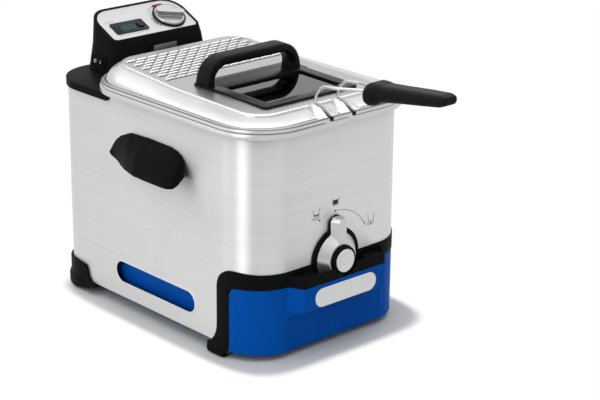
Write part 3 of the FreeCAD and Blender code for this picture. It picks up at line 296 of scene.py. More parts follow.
@dataclass
class Skin:
    """Points and faces of one piece while it is being drawn, in millimetres."""

    points: list[Vector] = field(default_factory=list)
    faces: list[tuple[int, ...]] = field(default_factory=list)

    def bridge(self, lower: Sequence[int], upper: Sequence[int], closed: bool = True) -> None:
        """Joins two rows of points with faces.

        Args:
            lower, upper: numbers of the points, the same count in both.
            closed: the rows are rings.
        """
        last = len(lower) if closed else len(lower) - 1
        for here in range(last):
            after = (here + 1) % len(lower)
            self.faces.append((lower[here], lower[after], upper[after], upper[here]))

    def loft(self, rows: Sequence[Iterable[Sequence[float]]], closed: bool = True,
             caps: bool = False) -> list[range]:
        """Joins rows of points one after the other.

        Args:
            rows: rows of points of one length.
            closed: each row is a closed ring.
            caps: closes the first and last ring.

        Returns:
            The numbers of the points, row by row.
        """
        rings = []
        for places in rows:
            start = len(self.points)
            self.points += [Vector(place) for place in places]
            rings.append(range(start, len(self.points)))
        for lower, upper in zip(rings, rings[1:]):
            self.bridge(lower, upper, closed)
        if caps:
            self.faces.append(tuple(reversed(rings[0])))
            self.faces.append(tuple(rings[-1]))
        return rings

    def to_object(self, name: str, heart: Optional[Sequence[float]] = None) -> Piece:
        """Makes the object, its doubles merged and its faces turned outwards.

        Args:
            name: piece name.
            heart: point that an open skin faces away from.

        Returns:
            The new object at the origin.
        """
        mesh = bpy.data.meshes.new(name)
        mesh.from_pydata([row(point) for point in self.points], [], self.faces)
        with edited(mesh) as work:
            bmesh.ops.remove_doubles(work, verts=work.verts, dist=SAME_POINT)
            bmesh.ops.dissolve_degenerate(work, edges=work.edges, dist=SAME_WIRE_POINT)
            bmesh.ops.recalc_face_normals(work, faces=work.faces)
            if heart is not None:
                turn_outwards(work, row(heart))
        return linked(name, mesh)


def turn_outwards(work: bmesh.types.BMesh, heart: Vector) -> None:
    """Turns an open skin so that it faces away from a point.

    Args:
        work: the open mesh.
        heart: the point, in the frame.
    """
    facing = (face.normal.dot(face.calc_center_median() - heart) * face.calc_area() for face in work.faces)
    if sum(facing) < 0:
        bmesh.ops.reverse_faces(work, faces=work.faces)


def linked(name: str, data: bpy.types.ID) -> Piece:
    """New object in the scene.

    Args:
        name: its name.
        data: its mesh, lamp or camera.

    Returns:
        The object.
    """
    obj = bpy.data.objects.new(name, data)
    bpy.context.scene.collection.objects.link(obj)
    return obj


def bent_plate(name: str, loops: Sequence[Sequence[Flat]], planes: Sequence[Plane],
               bent: Callable[[float, float], Vector]) -> Piece:
    """Flat plate that is cut along planes and then bent.

    Args:
        name: piece name.
        loops: the outline and then any holes, as (distance along the plate, height).
        planes: a place and a direction for each cut.
        bent: point of the frame for a place on the plate.

    Returns:
        The skin as an object, facing outwards.
    """
    mesh = bpy.data.meshes.new(name)
    with edited(mesh) as work:
        for loop in loops:
            corners = [work.verts.new((along, 0.0, z)) for along, z in loop]
            for here, after in zip(corners, corners[1:] + corners[:1]):
                work.edges.new((here, after))
        bmesh.ops.triangle_fill(work, use_beauty=True, edges=work.edges[:], normal=(0, -1, 0))
        for place, way in planes:
            everything = work.verts[:] + work.edges[:] + work.faces[:]
            bmesh.ops.bisect_plane(work, geom=everything, plane_co=place, plane_no=way, dist=ON_CUT)
        for vert in work.verts:
            vert.co = bent(vert.co.x, vert.co.z)
        bmesh.ops.remove_doubles(work, verts=work.verts, dist=SAME_POINT)
        bmesh.ops.recalc_face_normals(work, faces=work.faces)
        turn_outwards(work, row(PLATE_HEART))
    return linked(name, mesh)


def wrapped_plate(name: str, edge: Sequence[Flat], holes: Sequence[Sequence[Flat]],
                  out: Callable[[float, float], float], levels: Sequence[float] = ()) -> Piece:
    """Flat plate with holes, bent round the housing.

    Args:
        name: piece name.
        edge: outline as (distance along the skin, height).
        holes: outlines of the holes.
        out: distance outside the skin for a place.
        levels: heights at which the plate is cut, so that it can swell.

    Returns:
        The skin as an object, facing outwards.
    """
    alongs = [along for along, _ in edge]
    planes = [((cut, 0, 0), (1, 0, 0)) for cut in WRAP.cuts(min(alongs), max(alongs))]
    planes += [((0, 0, level), (0, 0, 1)) for level in levels]
    return bent_plate(name, [edge, *holes], planes,
                      lambda along, z: row((*WRAP.place(along, out(along, z)), z)))


def frozen(obj: Piece) -> Piece:
    """Turns the result of an object's modifiers into its plain mesh.

    Args:
        obj: object with modifiers.

    Returns:
        The same object without them.
    """
    bpy.context.view_layer.update()
    graph = bpy.context.evaluated_depsgraph_get()
    mesh = bpy.data.meshes.new_from_object(obj.evaluated_get(graph))
    obj.modifiers.clear()
    old = obj.data
    obj.data = mesh
    mesh.name = obj.name
    bpy.data.meshes.remove(old)
    return obj


@dataclass(frozen=True)
class Finishing:
    """How the mesh of a piece is finished; lengths in millimetres, angles in degrees."""

    wall: float = 0.0
    even: bool = True
    voxel: float = 0.0
    soften: int = 0
    soften_share: float = 0.5
    bevel: float = 0.0
    bevel_steps: int = 3
    bevel_angle: float = 32.0
    sharp: float = 38.0

    def apply(self, obj: Piece) -> Piece:
        """Gives a piece its wall, blended or bevelled edges and shading.

        Args:
            obj: the piece.

        Returns:
            The same piece with a plain mesh.
        """
        if self.wall:
            wall = obj.modifiers.new("wall", "SOLIDIFY")
            wall.thickness = self.wall * MM
            wall.offset = -1.0
            wall.use_even_offset = self.even
        if self.voxel:
            blend = obj.modifiers.new("blend", "REMESH")
            blend.mode = "VOXEL"
            blend.voxel_size = self.voxel * MM
            ease = obj.modifiers.new("ease", "SMOOTH")
            ease.factor = self.soften_share
            ease.iterations = self.soften
        if self.bevel:
            bevel = obj.modifiers.new("edges", "BEVEL")
            bevel.width = self.bevel * MM
            bevel.segments = self.bevel_steps
            bevel.limit_method = "ANGLE"
            bevel.angle_limit = math.radians(self.bevel_angle)
            bevel.use_clamp_overlap = True
        if obj.modifiers:
            frozen(obj)
        obj.data.shade_smooth()
        obj.data.set_sharp_from_angle(angle=math.radians(self.sharp))
        return obj


# Shading only, and shading for shapes with soft folds
PLAIN = Finishing()
FOLDED = Finishing(sharp=50.0)


def solid_copy(node: str, name: str, flat_angle: float = 1.0) -> Piece:
    """Merged copy of a solid of the frame, its flat faces joined.

    Args:
        node: name of the solid.
        name: piece name of the copy.
        flat_angle: faces that differ by less, in degrees, are joined.

    Returns:
        The copy.
    """
    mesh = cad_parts[node].data.copy()
    mesh.materials.clear()
    flat = math.radians(flat_angle)
    with edited(mesh) as work:
        bmesh.ops.remove_doubles(work, verts=work.verts, dist=SAME_SOLID_POINT)
        bmesh.ops.dissolve_limit(work, angle_limit=flat, verts=work.verts, edges=work.edges)
    return linked(name, mesh)


# Finishes

def feed(tree: Tree, node: Node, inputs: Inputs) -> Node:
    """Sets inputs of a node to values or links them to sockets.

    Args:
        tree: node tree that holds the node.
        node: the node.
        inputs: a value or a socket for each input, by its name or number.

    Returns:
        The node.
    """
    for label, value in inputs.items():
        if isinstance(value, Socket):
            tree.links.new(value, node.inputs[label])
        else:
            node.inputs[label].default_value = value
    return node


def add_node(tree: Tree, kind: str, inputs: Inputs) -> Node:
    """New node of a kind with its inputs fed."""
    return feed(tree, tree.nodes.new(kind), inputs)


def add_math(tree: Tree, operation: str, first: Union[Socket, float],
             second: Union[Socket, float]) -> Socket:
    """Math node on two sockets or numbers.

    Args:
        tree: node tree it goes into.
        operation: Math node operation.
        first, second: sockets or plain numbers.

    Returns:
        The output socket.
    """
    node = tree.nodes.new("ShaderNodeMath")
    node.operation = operation
    return feed(tree, node, {0: first, 1: second}).outputs[0]


def node_group(name: str, inputs: dict[str, str], outputs: dict[str, str],
               tree_type: str = "ShaderNodeTree") -> tuple[Tree, Node, Node]:
    """Node group with its sockets.

    Args:
        name: group name.
        inputs: input names with their kinds, such as Float.
        outputs: output names with their kinds.
        tree_type: type of the node tree.

    Returns:
        The group, its input node and its output node.
    """
    tree = bpy.data.node_groups.new(name, tree_type)
    for way, sockets in (("INPUT", inputs), ("OUTPUT", outputs)):
        for label, kind in sockets.items():
            tree.interface.new_socket(name=label, in_out=way, socket_type="NodeSocket" + kind)
    return tree, tree.nodes.new("NodeGroupInput"), tree.nodes.new("NodeGroupOutput")


def use_group(tree: Tree, group: Tree, inputs: Inputs) -> Node:
    """Node that places a group in a material.

    Args:
        tree: node tree of the material.
        group: the group.
        inputs: those of feed.

    Returns:
        The node.
    """
    node = tree.nodes.new("ShaderNodeGroup")
    node.node_tree = group
    return feed(tree, node, inputs)


class Effects:
    """Surface effects that several finishes share, each a shader group built once."""

    def __init__(self) -> None:
        """Builds the groups."""
        self.brush = self.brush_lines()
        self.grain = self.moulded_grain()
        self.marks = self.handling_marks()

    def brush_lines(self) -> Tree:
        """Fine streaks of brushed metal over broader bands, in already stretched coordinates.

        Returns:
            The group.
        """
        tree, source, target = node_group("brush lines", {"Vector": "Vector"},
                                          {"Streak": "Float", "Band": "Float"})
        for output, scale, detail in (("Streak", 1.0, 4.0), ("Band", 0.11, 2.0)):
            noise = add_node(tree, "ShaderNodeTexNoise", {
                "Vector": source.outputs["Vector"], "Scale": scale, "Detail": detail})
            feed(tree, target, {output: noise.outputs["Fac"]})
        return tree

    def moulded_grain(self) -> Tree:
        """Fine spark-eroded grain of moulded plastic.

        Returns:
            The group.
        """
        tree, source, target = node_group("moulded grain", {"Vector": "Vector", "Scale": "Float"},
                                          {"Height": "Float", "Mottle": "Float"})
        vector = source.outputs["Vector"]
        cells = tree.nodes.new("ShaderNodeTexVoronoi")
        cells.feature = "SMOOTH_F1"
        feed(tree, cells, {"Vector": vector, "Scale": source.outputs["Scale"]})
        cloud = add_node(tree, "ShaderNodeTexNoise", {"Vector": vector, "Scale": 60.0, "Detail": 3.0})
        feed(tree, target, {"Height": cells.outputs["Distance"], "Mottle": cloud.outputs["Fac"]})
        return tree

    def handling_marks(self) -> Tree:
        """Faint smears where hands and cloths have been.

        Returns:
            The group.
        """
        tree, source, target = node_group("handling marks", {"Vector": "Vector", "Amount": "Float"},
                                          {"Mark": "Float"})
        cloud = add_node(tree, "ShaderNodeTexNoise", {
            "Vector": source.outputs["Vector"], "Scale": 14.0, "Detail": 5.0, "Distortion": 0.7})
        span = add_node(tree, "ShaderNodeMapRange", {
            "Value": cloud.outputs["Fac"], "From Min": 0.48, "From Max": 0.72})
        scaled = add_math(tree, "MULTIPLY", span.outputs["Result"], source.outputs["Amount"])
        feed(tree, target, {"Mark": scaled})
        return tree


EFFECTS = Effects()
# Sockets of a Mix node that mixes colours
MIX_FACTOR, MIX_FIRST, MIX_SECOND, MIX_RESULT = 0, 6, 7, 2
# Depth of the relief of brush lines and of moulded grain, in millimetres
BRUSH_DEPTH = 0.02
GRAIN_DEPTH = 0.03
GLASS_IOR = 1.5


class Grain(Enum):
    """Way the brush lines of a metal run; the numbers stretch the coordinates."""

    LEVEL = (14.0, 14.0, 1500.0)
    ACROSS = (14.0, 1500.0, 1500.0)
    FINE = (420.0, 420.0, 420.0)


@dataclass(frozen=True)
class Finish:
    """Base of every finish: a plain shader that the kinds below add their surface to."""

    slot: str
    colour: Colour
    roughness: float
    metallic: float = 0.0
    specular: float = 0.5
    marks: float = 0.05
    variant: str = ""

    def material(self) -> bpy.types.Material:
        """Makes the material, or gives the one already made.

        Returns:
            The material.
        """
        name = "finish_" + self.slot + self.variant
        found = bpy.data.materials.get(name)
        if found:
            return found
        made = bpy.data.materials.new(name)
        made.use_nodes = True
        tree = made.node_tree
        shader = tree.nodes["Principled BSDF"]
        feed(tree, shader, {"Base Color": (*self.colour, 1.0), "Metallic": self.metallic,
                            "Roughness": self.roughness, "Specular IOR Level": self.specular})
        coords = tree.nodes.new("ShaderNodeTexCoord").outputs["Object"]
        feed(tree, shader, self.surface(tree, coords))
        return made

    def surface(self, tree: Tree, coords: Socket) -> Inputs:
        """Inputs of the shader that change over the surface, from object coordinates."""
        return {"Roughness": self.worn(tree, coords, None, 0.0)}

    def worn(self, tree: Tree, coords: Socket, texture: Optional[Socket], swing: float) -> Socket:
        """Roughness from the base value, a texture and handling marks.

        Args:
            tree: node tree of the material.
            coords: object coordinates.
            texture: texture value round a half, or none.
            swing: how far the texture moves the roughness.

        Returns:
            The socket of the roughness.
        """
        marks = use_group(tree, EFFECTS.marks, {"Vector": coords, "Amount": self.marks})
        total = add_math(tree, "ADD", marks.outputs["Mark"], self.roughness - swing / 2)
        if texture is None:
            return total
        return add_math(tree, "ADD", total, add_math(tree, "MULTIPLY", texture, swing))

    def tinted(self, tree: Tree, texture: Socket, swing: float) -> Socket:
        """Colour that moves a little darker and lighter with a texture.

        Args:
            tree: node tree of the material.
            texture: the texture.
            swing: how far it moves the colour.

        Returns:
            The socket of the colour.
        """
        mix = tree.nodes.new("ShaderNodeMix")
        mix.data_type = "RGBA"
        dark = [channel * (1 - swing) for channel in self.colour]
        light = [min(1.0, channel * (1 + swing)) for channel in self.colour]
        feed(tree, mix, {MIX_FACTOR: texture, MIX_FIRST: (*dark, 1.0), MIX_SECOND: (*light, 1.0)})
        return mix.outputs[MIX_RESULT]

    def embossed(self, tree: Tree, height: Socket, strength: float, depth: float) -> Socket:
        """Normal from a height texture with a strength and a depth in millimetres."""
        values = {"Height": height, "Strength": strength, "Distance": depth * MM}
        return add_node(tree, "ShaderNodeBump", values).outputs["Normal"]


@dataclass(frozen=True)
class Brushed(Finish):
    """Brushed metal with streaks along one way."""

    grain: Grain = Grain.LEVEL
    swing: float = 0.10
    tint: float = 0.05
    relief: float = 0.12
    anisotropic: float = 0.5
    turn: float = 0.25

    def surface(self, tree: Tree, coords: Socket) -> Inputs:
        """Streaks in roughness, colour and relief.

        Args:
            tree: node tree of the material.
            coords: object coordinates.

        Returns:
            The inputs of the shader.
        """
        stretch = add_node(tree, "ShaderNodeMapping", {"Vector": coords, "Scale": self.grain.value})
        brush = use_group(tree, EFFECTS.brush, {"Vector": stretch.outputs["Vector"]})
        streak, band = brush.outputs["Streak"], brush.outputs["Band"]
        return {"Anisotropic": self.anisotropic, "Anisotropic Rotation": self.turn,
                "Roughness": self.worn(tree, coords, streak, self.swing),
                "Base Color": self.tinted(tree, band, self.tint),
                "Normal": self.embossed(tree, streak, self.relief, BRUSH_DEPTH)}


@dataclass(frozen=True)
class Satin(Brushed):
    """Metal with a fine grain that runs no particular way."""

    grain: Grain = Grain.FINE
    anisotropic: float = 0.0


@dataclass(frozen=True)
class Moulded(Finish):
    """Moulded plastic or rubber with a fine grain."""

    grain_scale: float = 2600.0
    relief: float = 0.10
    swing: float = 0.06
    tint: float = 0.06

    def surface(self, tree: Tree, coords: Socket) -> Inputs:
        """Moulded grain in relief, roughness and colour.

        Args:
            tree: node tree of the material.
            coords: object coordinates.

        Returns:
            The inputs of the shader.
        """
        grain = use_group(tree, EFFECTS.grain, {"Vector": coords, "Scale": self.grain_scale})
        height, mottle = grain.outputs["Height"], grain.outputs["Mottle"]
        return {"Roughness": self.worn(tree, coords, mottle, self.swing),
                "Base Color": self.tinted(tree, mottle, self.tint),
                "Normal": self.embossed(tree, height, self.relief, GRAIN_DEPTH)}


@dataclass(frozen=True)
class Lit(Moulded):
    """Plastic that also glows a little, for the display and the lamp."""

    glow: float = 0.3

    def surface(self, tree: Tree, coords: Socket) -> Inputs:
        """Moulded surface with a glow in the finish's own colour."""
        light = {"Emission Color": (*self.colour, 1.0), "Emission Strength": self.glow}
        return {**super().surface(tree, coords), **light}


@dataclass(frozen=True)
class Glass(Finish):
    """Tinted glass that keeps plain transmission."""

    def surface(self, tree: Tree, coords: Socket) -> Inputs:
        """Glass with handling marks in its gloss."""
        return {**super().surface(tree, coords), "Transmission Weight": 1.0, "IOR": GLASS_IOR}


STEEL = Brushed("steel_body", (0.70, 0.70, 0.695), 0.50, 1.0, anisotropic=0.85)
LID_STEEL = Satin("steel_lid", (0.58, 0.58, 0.575), 0.35, 1.0, swing=0.05, relief=0.04)
# Darker copy of the lid steel for the flat top and the ground between the louvres: the cross grain is real,
# the darker colour is painted shade.
PLATEAU_SHADED_STEEL = Brushed("steel_lid", (0.44, 0.44, 0.435), 0.29, 1.0, grain=Grain.ACROSS, variant="_top",
                        anisotropic=0.2)
# Lighter copy of the lid steel for the louvres: a painted highlight.
LOUVRE_HIGHLIGHT_STEEL = Satin("steel_lid", (0.80, 0.80, 0.795), 0.30, 1.0, variant="_louvre")
# Dark copy of the lid steel for the seam below the flank: painted shade in the crease.
SEAM_SHADE_STEEL = Satin("steel_lid", (0.16, 0.16, 0.16), 0.45, 1.0, variant="_seam")
HOOK_STEEL = Satin("steel_inside", (0.11, 0.11, 0.11), 0.35, 1.0, variant="_hook")
# Bright, almost matt copy of the lid steel for the lips of the hood slits: painted light on the far wall of
# each slit.
LIP_LIGHT_STEEL = Satin("steel_lid", (0.88, 0.88, 0.875), 0.60, 0.1, variant="_lip")
INSIDE_STEEL = Brushed("steel_inside", (0.50, 0.50, 0.49), 0.38, 1.0)
CHROME = Satin("chrome_wire", (0.60, 0.60, 0.60), 0.12, 1.0, swing=0.03, tint=0.02, relief=0.02)
SCREW_STEEL = Satin("screw_steel", (0.45, 0.45, 0.44), 0.32, 1.0)
ELEMENT = Satin("element_steel", (0.30, 0.29, 0.28), 0.42, 1.0)
VALVE = Satin("valve_metal", (0.62, 0.50, 0.30), 0.34, 1.0)
SILVER = Satin("silver_plastic", (0.56, 0.56, 0.56), 0.30, 0.9, tint=0.03, relief=0.03)
KNOB_SILVER = Satin("silver_plastic", (0.36, 0.36, 0.36), 0.34, 0.9, tint=0.03, relief=0.03, variant="_knob")
PLATE = Brushed("silver_plate", (0.64, 0.64, 0.64), 0.34, 0.8, grain=Grain.ACROSS, tint=0.03,
                anisotropic=0.2)
PANEL = Brushed("silver_plate", (0.40, 0.40, 0.40), 0.36, 0.8, grain=Grain.ACROSS, tint=0.03,
                anisotropic=0.2, variant="_panel")
BLACK = Moulded("black_plastic", (0.0050, 0.0051, 0.0054), 0.50, specular=0.03)
GRIP = Moulded("grip_plastic", (0.0040, 0.0041, 0.0045), 0.42, specular=0.08, grain_scale=2000.0,
               relief=0.14)
GLOSS = Moulded("gloss_black", (0.005, 0.005, 0.0055), 0.26, specular=0.11, relief=0.02)
BLUE = Moulded("blue_plastic", (0.0, 0.080, 0.40), 0.42, specular=0.03, relief=0.06, tint=0.05)
RUBBER = Moulded("rubber_black", (0.008, 0.008, 0.008), 0.7, specular=0.2, grain_scale=1500.0, relief=0.25)
BOARD = Moulded("board_green", (0.01, 0.09, 0.035), 0.45, grain_scale=900.0)
THERMOSTAT = Moulded("thermostat_grey", (0.22, 0.22, 0.21), 0.5)
FILTER = Moulded("filter_grey", (0.05, 0.05, 0.05), 0.85, grain_scale=500.0, relief=0.5, tint=0.3)
SCREEN = Moulded("display_black", (0.006, 0.007, 0.008), 0.20, specular=0.10, relief=0.01)
CLEAR = Glass("clear_glass", (0.08, 0.085, 0.09), 0.02, marks=0.03)
TEAL = Lit("display_teal", (0.006, 0.024, 0.028), 0.30, specular=0.1, relief=0.02, glow=0.2)
DIGITS = Lit("display_teal", (0.025, 0.090, 0.095), 0.30, specular=0.1, relief=0.02, variant="_lit")
RED = Lit("lamp_red", (0.30, 0.002, 0.008), 0.30, specular=0.15, relief=0.02, glow=0.15)
PRINT = Moulded("black_plastic", (0.02, 0.02, 0.02), 0.55, variant="_print", relief=0.02, specular=0.2)
WHITE_PRINT = Moulded("gloss_black", (0.75, 0.75, 0.75), 0.5, variant="_print", relief=0.02)
FADED_PRINT = Moulded("silver_plate", (0.06, 0.06, 0.065), 0.5, variant="_print", relief=0.02)


# Wires, made by one node tree

def geometry_group(name: str, inputs: dict[str, str]) -> tuple[Tree, Node, Node]:
    """Geometry tree that ends in plain geometry with a material.

    Args:
        name: tree name.
        inputs: names of its own inputs with their kinds.

    Returns:
        The tree, its input node and the node that takes the finished geometry.
    """
    inputs = {"Geometry": "Geometry", **inputs, "Material": "Material"}
    tree, source, target = node_group(name, inputs, {"Geometry": "Geometry"}, "GeometryNodeTree")
    tree.is_modifier = True
    plain = tree.nodes.new("GeometryNodeRealizeInstances")
    dress = add_node(tree, "GeometryNodeSetMaterial", {
        "Geometry": plain.outputs["Geometry"], "Material": source.outputs["Material"]})
    feed(tree, target, {"Geometry": dress.outputs["Geometry"]})
    return tree, source, plain


def wire_tree(bend_steps: int = 8) -> Tree:
    """Geometry tree that turns the edges of a mesh into round wire with bent corners.

    Args:
        bend_steps: pieces of each corner.

    Returns:
        The tree.
    """
    sizes = {"Wire radius": "Float", "Bend radius": "Float", "Sides": "Int"}
    tree, source, plain = geometry_group("bent wire", sizes)
    given = source.outputs
    curve = add_node(tree, "GeometryNodeMeshToCurve", {"Mesh": given["Geometry"]})
    bend = tree.nodes.new("GeometryNodeFilletCurve")
    bend.mode = "POLY"
    feed(tree, bend, {"Curve": curve.outputs["Curve"], "Radius": given["Bend radius"], "Count": bend_steps,
                      "Limit Radius": True})
    profile = add_node(tree, "GeometryNodeCurvePrimitiveCircle", {
        "Resolution": given["Sides"], "Radius": given["Wire radius"]})
    tube = add_node(tree, "GeometryNodeCurveToMesh", {
        "Curve": bend.outputs["Curve"], "Profile Curve": profile.outputs["Curve"], "Fill Caps": True})
    feed(tree, plain, {"Geometry": tube.outputs["Mesh"]})
    return tree


def run_tree(obj: Piece, tree: Tree, values: dict[str, object]) -> Piece:
    """Runs a geometry tree on an object and keeps the plain mesh.

    Args:
        obj: object whose mesh goes in.
        tree: geometry tree.
        values: values of its named inputs.

    Returns:
        The same object with the resulting mesh.
    """
    modifier = obj.modifiers.new(tree.name, "NODES")
    modifier.node_group = tree
    for item in tree.interface.items_tree:
        if item.in_out == "INPUT" and item.name in values:
            modifier[item.identifier] = values[item.name]
    return frozen(obj)


WIRE_TREE = wire_tree()


@dataclass(frozen=True)
class Wire:
    """Round wire: its radius, that of its corners, the faces round it, and whether paths are rings."""

    radius: float
    bend: float = 0.0
    sides: int = 14
    closed: bool = False

    def along(self, name: str, paths: Paths, finish: Finish) -> Piece:
        """Lays the wire along paths.

        Args:
            name: piece name.
            paths: corner points of each wire, in millimetres.
            finish: finish of the wire.

        Returns:
            One object with all wires.
        """
        points, edges = [], []
        for path in paths:
            start = len(points)
            points += [row(place) for place in path]
            edges += [(here, here + 1) for here in range(start, len(points) - 1)]
            if self.closed:
                edges.append((len(points) - 1, start))
        mesh = bpy.data.meshes.new(name)
        mesh.from_pydata(points, edges, [])
        obj = linked(name, mesh)
        run_tree(obj, WIRE_TREE, {"Wire radius": self.radius * MM, "Bend radius": self.bend * MM,
                                  "Sides": self.sides, "Material": finish.material()})
        with edited(obj.data) as work:
            bmesh.ops.remove_doubles(work, verts=work.verts, dist=SAME_WIRE_POINT)
            bmesh.ops.recalc_face_normals(work, faces=work.faces)
        return obj


# Printed marks

def flat_marks(name: str, shapes: Sequence[Shape], place: Callable[[float, float], Vector]) -> Piece:
    """Thin printed shapes laid on a surface.

    Args:
        name: piece name.
        shapes: outlines in surface coordinates, counter-clockwise.
        place: point in the frame for surface coordinates.

    Returns:
        One object with all shapes.
    """
    points, faces = [], []
    for shape in shapes:
        faces.append(tuple(range(len(points), len(points) + len(shape))))
        points += [place(u, v) for u, v in shape]
    mesh = bpy.data.meshes.new(name)
    mesh.from_pydata(points, [], faces)
    return linked(name, mesh)


def stroke(points: Sequence[Flat], width: float) -> list[Shape]:
    """Printed line through points.

    Args:
        points: the points.
        width: width of the line.

    Returns:
        A chain of four-cornered shapes.
    """
    shapes = []
    for (x0, y0), (x1, y1) in zip(points, points[1:]):
        length = math.hypot(x1 - x0, y1 - y0) or 1.0
        dx, dy = (y0 - y1) / length * width / 2, (x1 - x0) / length * width / 2
        shapes.append([(x0 - dx, y0 - dy), (x1 - dx, y1 - dy), (x1 + dx, y1 + dy), (x0 + dx, y0 + dy)])
    return shapes


def dot(x: float, y: float, radius: float) -> Shape:
    """Printed dot."""
    return arc((x, y), radius, 0, 360, 16)[:-1]


# Assemblies

class Assembly:
    """A group of pieces that ride on one body of the frame."""

    body: str = "housing"

    def add(self, obj: Piece, finish: Finish, *nodes: str, finishing: Optional[Finishing] = None) -> Piece:
        """Finishes a piece and fixes it to the body.

        Args:
            obj: the piece, in place.
            finish: finish of its surface.
            nodes: solids of the frame that it stands for.
            finishing: how its mesh is finished first.

        Returns:
            The piece.
        """
        if finishing:
            finishing.apply(obj)
        obj.data.materials.clear()
        obj.data.materials.append(finish.material())
        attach(obj, self.body)
        if nodes:
            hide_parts(*nodes)
        log.info("piece %s on %s, %d faces", obj.name, self.body, len(obj.data.polygons))
        return obj

    def eased(self, node: str, finish: Finish, finishing: Finishing, flat_angle: float = 1.0) -> Piece:
        """Copy of a solid with softened edges that stands for the solid."""
        return self.add(solid_copy(node, node + "_shape", flat_angle), finish, node, finishing=finishing)

    def lofted(self, name: str, rows: Sequence[list[Spot]], finish: Finish, *nodes: str) -> Piece:
        """Closed piece with soft folds through rings of points.

        Args:
            name: piece name.
            rows: the rings.
            finish, nodes: those of add.

        Returns:
            The piece.
        """
        skin = Skin()
        skin.loft(rows, caps=True)
        return self.add(skin.to_object(name), finish, *nodes, finishing=FOLDED)

    def wired(self, name: str, paths: Paths, wire: Wire, finish: Finish, *nodes: str) -> Piece:
        """Wires along paths; the other values are those of add."""
        return self.add(wire.along(name, paths, finish), finish, *nodes, finishing=PLAIN)

    def dress(self, obj: Piece, finish: Finish, chosen: Callable[[Face], bool]) -> None:
        """Gives some faces of a finished piece a further finish.

        Args:
            obj: the piece.
            finish: finish of the chosen faces.
            chosen: tells whether a face gets it.
        """
        obj.data.materials.append(finish.material())
        for face in obj.data.polygons:
            if chosen(face):
                face.material_index = len(obj.data.materials) - 1

    def paint(self, finish: Finish, *nodes: str) -> None:
        """Gives solids of the frame, shown as they are, a finish.

        Args:
            finish: the finish.
            nodes: names of the solids.
        """
        for node in nodes:
            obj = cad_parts[node]
            obj.data.materials.clear()
            obj.data.materials.append(finish.material())
            log.info("solid %s keeps its shape", node)


# Housing

@dataclass(frozen=True)
class HandleHood:
    """Sections of the hooded side handle, from its thin tail to its round nose, in millimetres."""

    low: float = 201.5
    high: float = 246.6
    wide: float = 26.4
    tail_y: float = 74.0
    nose_y: float = -40.0
    nose_long: float = 39.5
    nose_z: float = 219.0
    tail_steps: int = 20
    nose_steps: int = 24
    wide_power: float = 5.0
    high_power: float = 2.4
    pull_back: float = 5.0
    lift: float = 11.0
    lift_power: float = 1.8
    reaches: Table = ((-40.0, 26.4), (-4.0, 25.6), (22.0, 18.4), (44.0, 9.5), (58.0, 5.0),
                      (66.0, 3.6), (74.0, 3.2))
    tops: Table = ((-40.0, 246.6), (-4.0, 247.0), (30.0, 245.6), (52.0, 236.5), (65.0, 226.5),
                   (74.0, 212.0))
    lows: Table = ((40.0, 201.5), (50.0, 203.5), (62.0, 204.5), (70.0, 206.0), (74.0, 208.5))
    crown: Table = ((0.0, 1.0), (0.16, 0.97), (0.34, 0.89), (0.55, 0.77), (0.74, 0.62),
                    (0.88, 0.45), (0.97, 0.25), (1.0, 0.10), (1.0, 0.0))
    heart: Flat = (-12.0, 222.0)

    def stations(self) -> list[tuple[float, float, float, float]]:
        """Sections from the tail to the nose.

        Returns:
            Depth, reach, bottom and top of each.
        """
        found = []
        for step in range(self.tail_steps):
            y = self.tail_y - (self.tail_y - self.nose_y) * step / self.tail_steps
            found.append((y, between(y, self.reaches), between(y, self.lows), between(y, self.tops)))
        for step in range(self.nose_steps + 1):
            share = math.sin(math.pi / 2 * step / self.nose_steps)
            reach = self.wide * rounded_off(share, self.wide_power)
            closing = 1 - reach / self.wide
            y = self.nose_y - self.nose_long * share + self.pull_back * closing
            top = self.nose_z + (self.high - self.nose_z) * rounded_off(share, self.high_power)
            found.append((y, reach, self.low + self.lift * closing ** self.lift_power, top))
        return found


@dataclass(frozen=True)
class Bulge:
    """Swelling of the front below the drain knob, seen from above, in millimetres."""

    front: float = -222.4
    half: float = 69.0
    foot: float = 79.0
    root: float = -201.0
    radius: float = 8.0
    half_share: float = 0.6
    foot_share: float = 1.2
    corner_steps: int = 8

    def line(self, inset: float = 0.0) -> Shape:
        """Outline from the left root to the right root.

        Args:
            inset: distance it is drawn in.

        Returns:
            Points (x, y).
        """
        front, half = self.front + inset, self.half - self.half_share * inset
        foot = self.foot - self.foot_share * inset
        corners = [(-foot, self.root), (-half, front), (half, front), (foot, self.root)]
        line = [corners[0]]
        for before, corner, after in zip(corners, corners[1:], corners[2:]):
            here = Vector(corner)
            back, ahead = (Vector(before) - here).normalized(), (Vector(after) - here).normalized()
            reach = self.radius / math.tan(back.angle(ahead) / 2)
            start, end = here + back * reach, here + ahead * reach
            for step in range(self.corner_steps + 1):
                share = step / self.corner_steps
                point = start * (1 - share) ** 2 + here * 2 * share * (1 - share) + end * share ** 2
                line.append(tuple(point))
        line.append(corners[-1])
        return line


BULGE = Bulge()


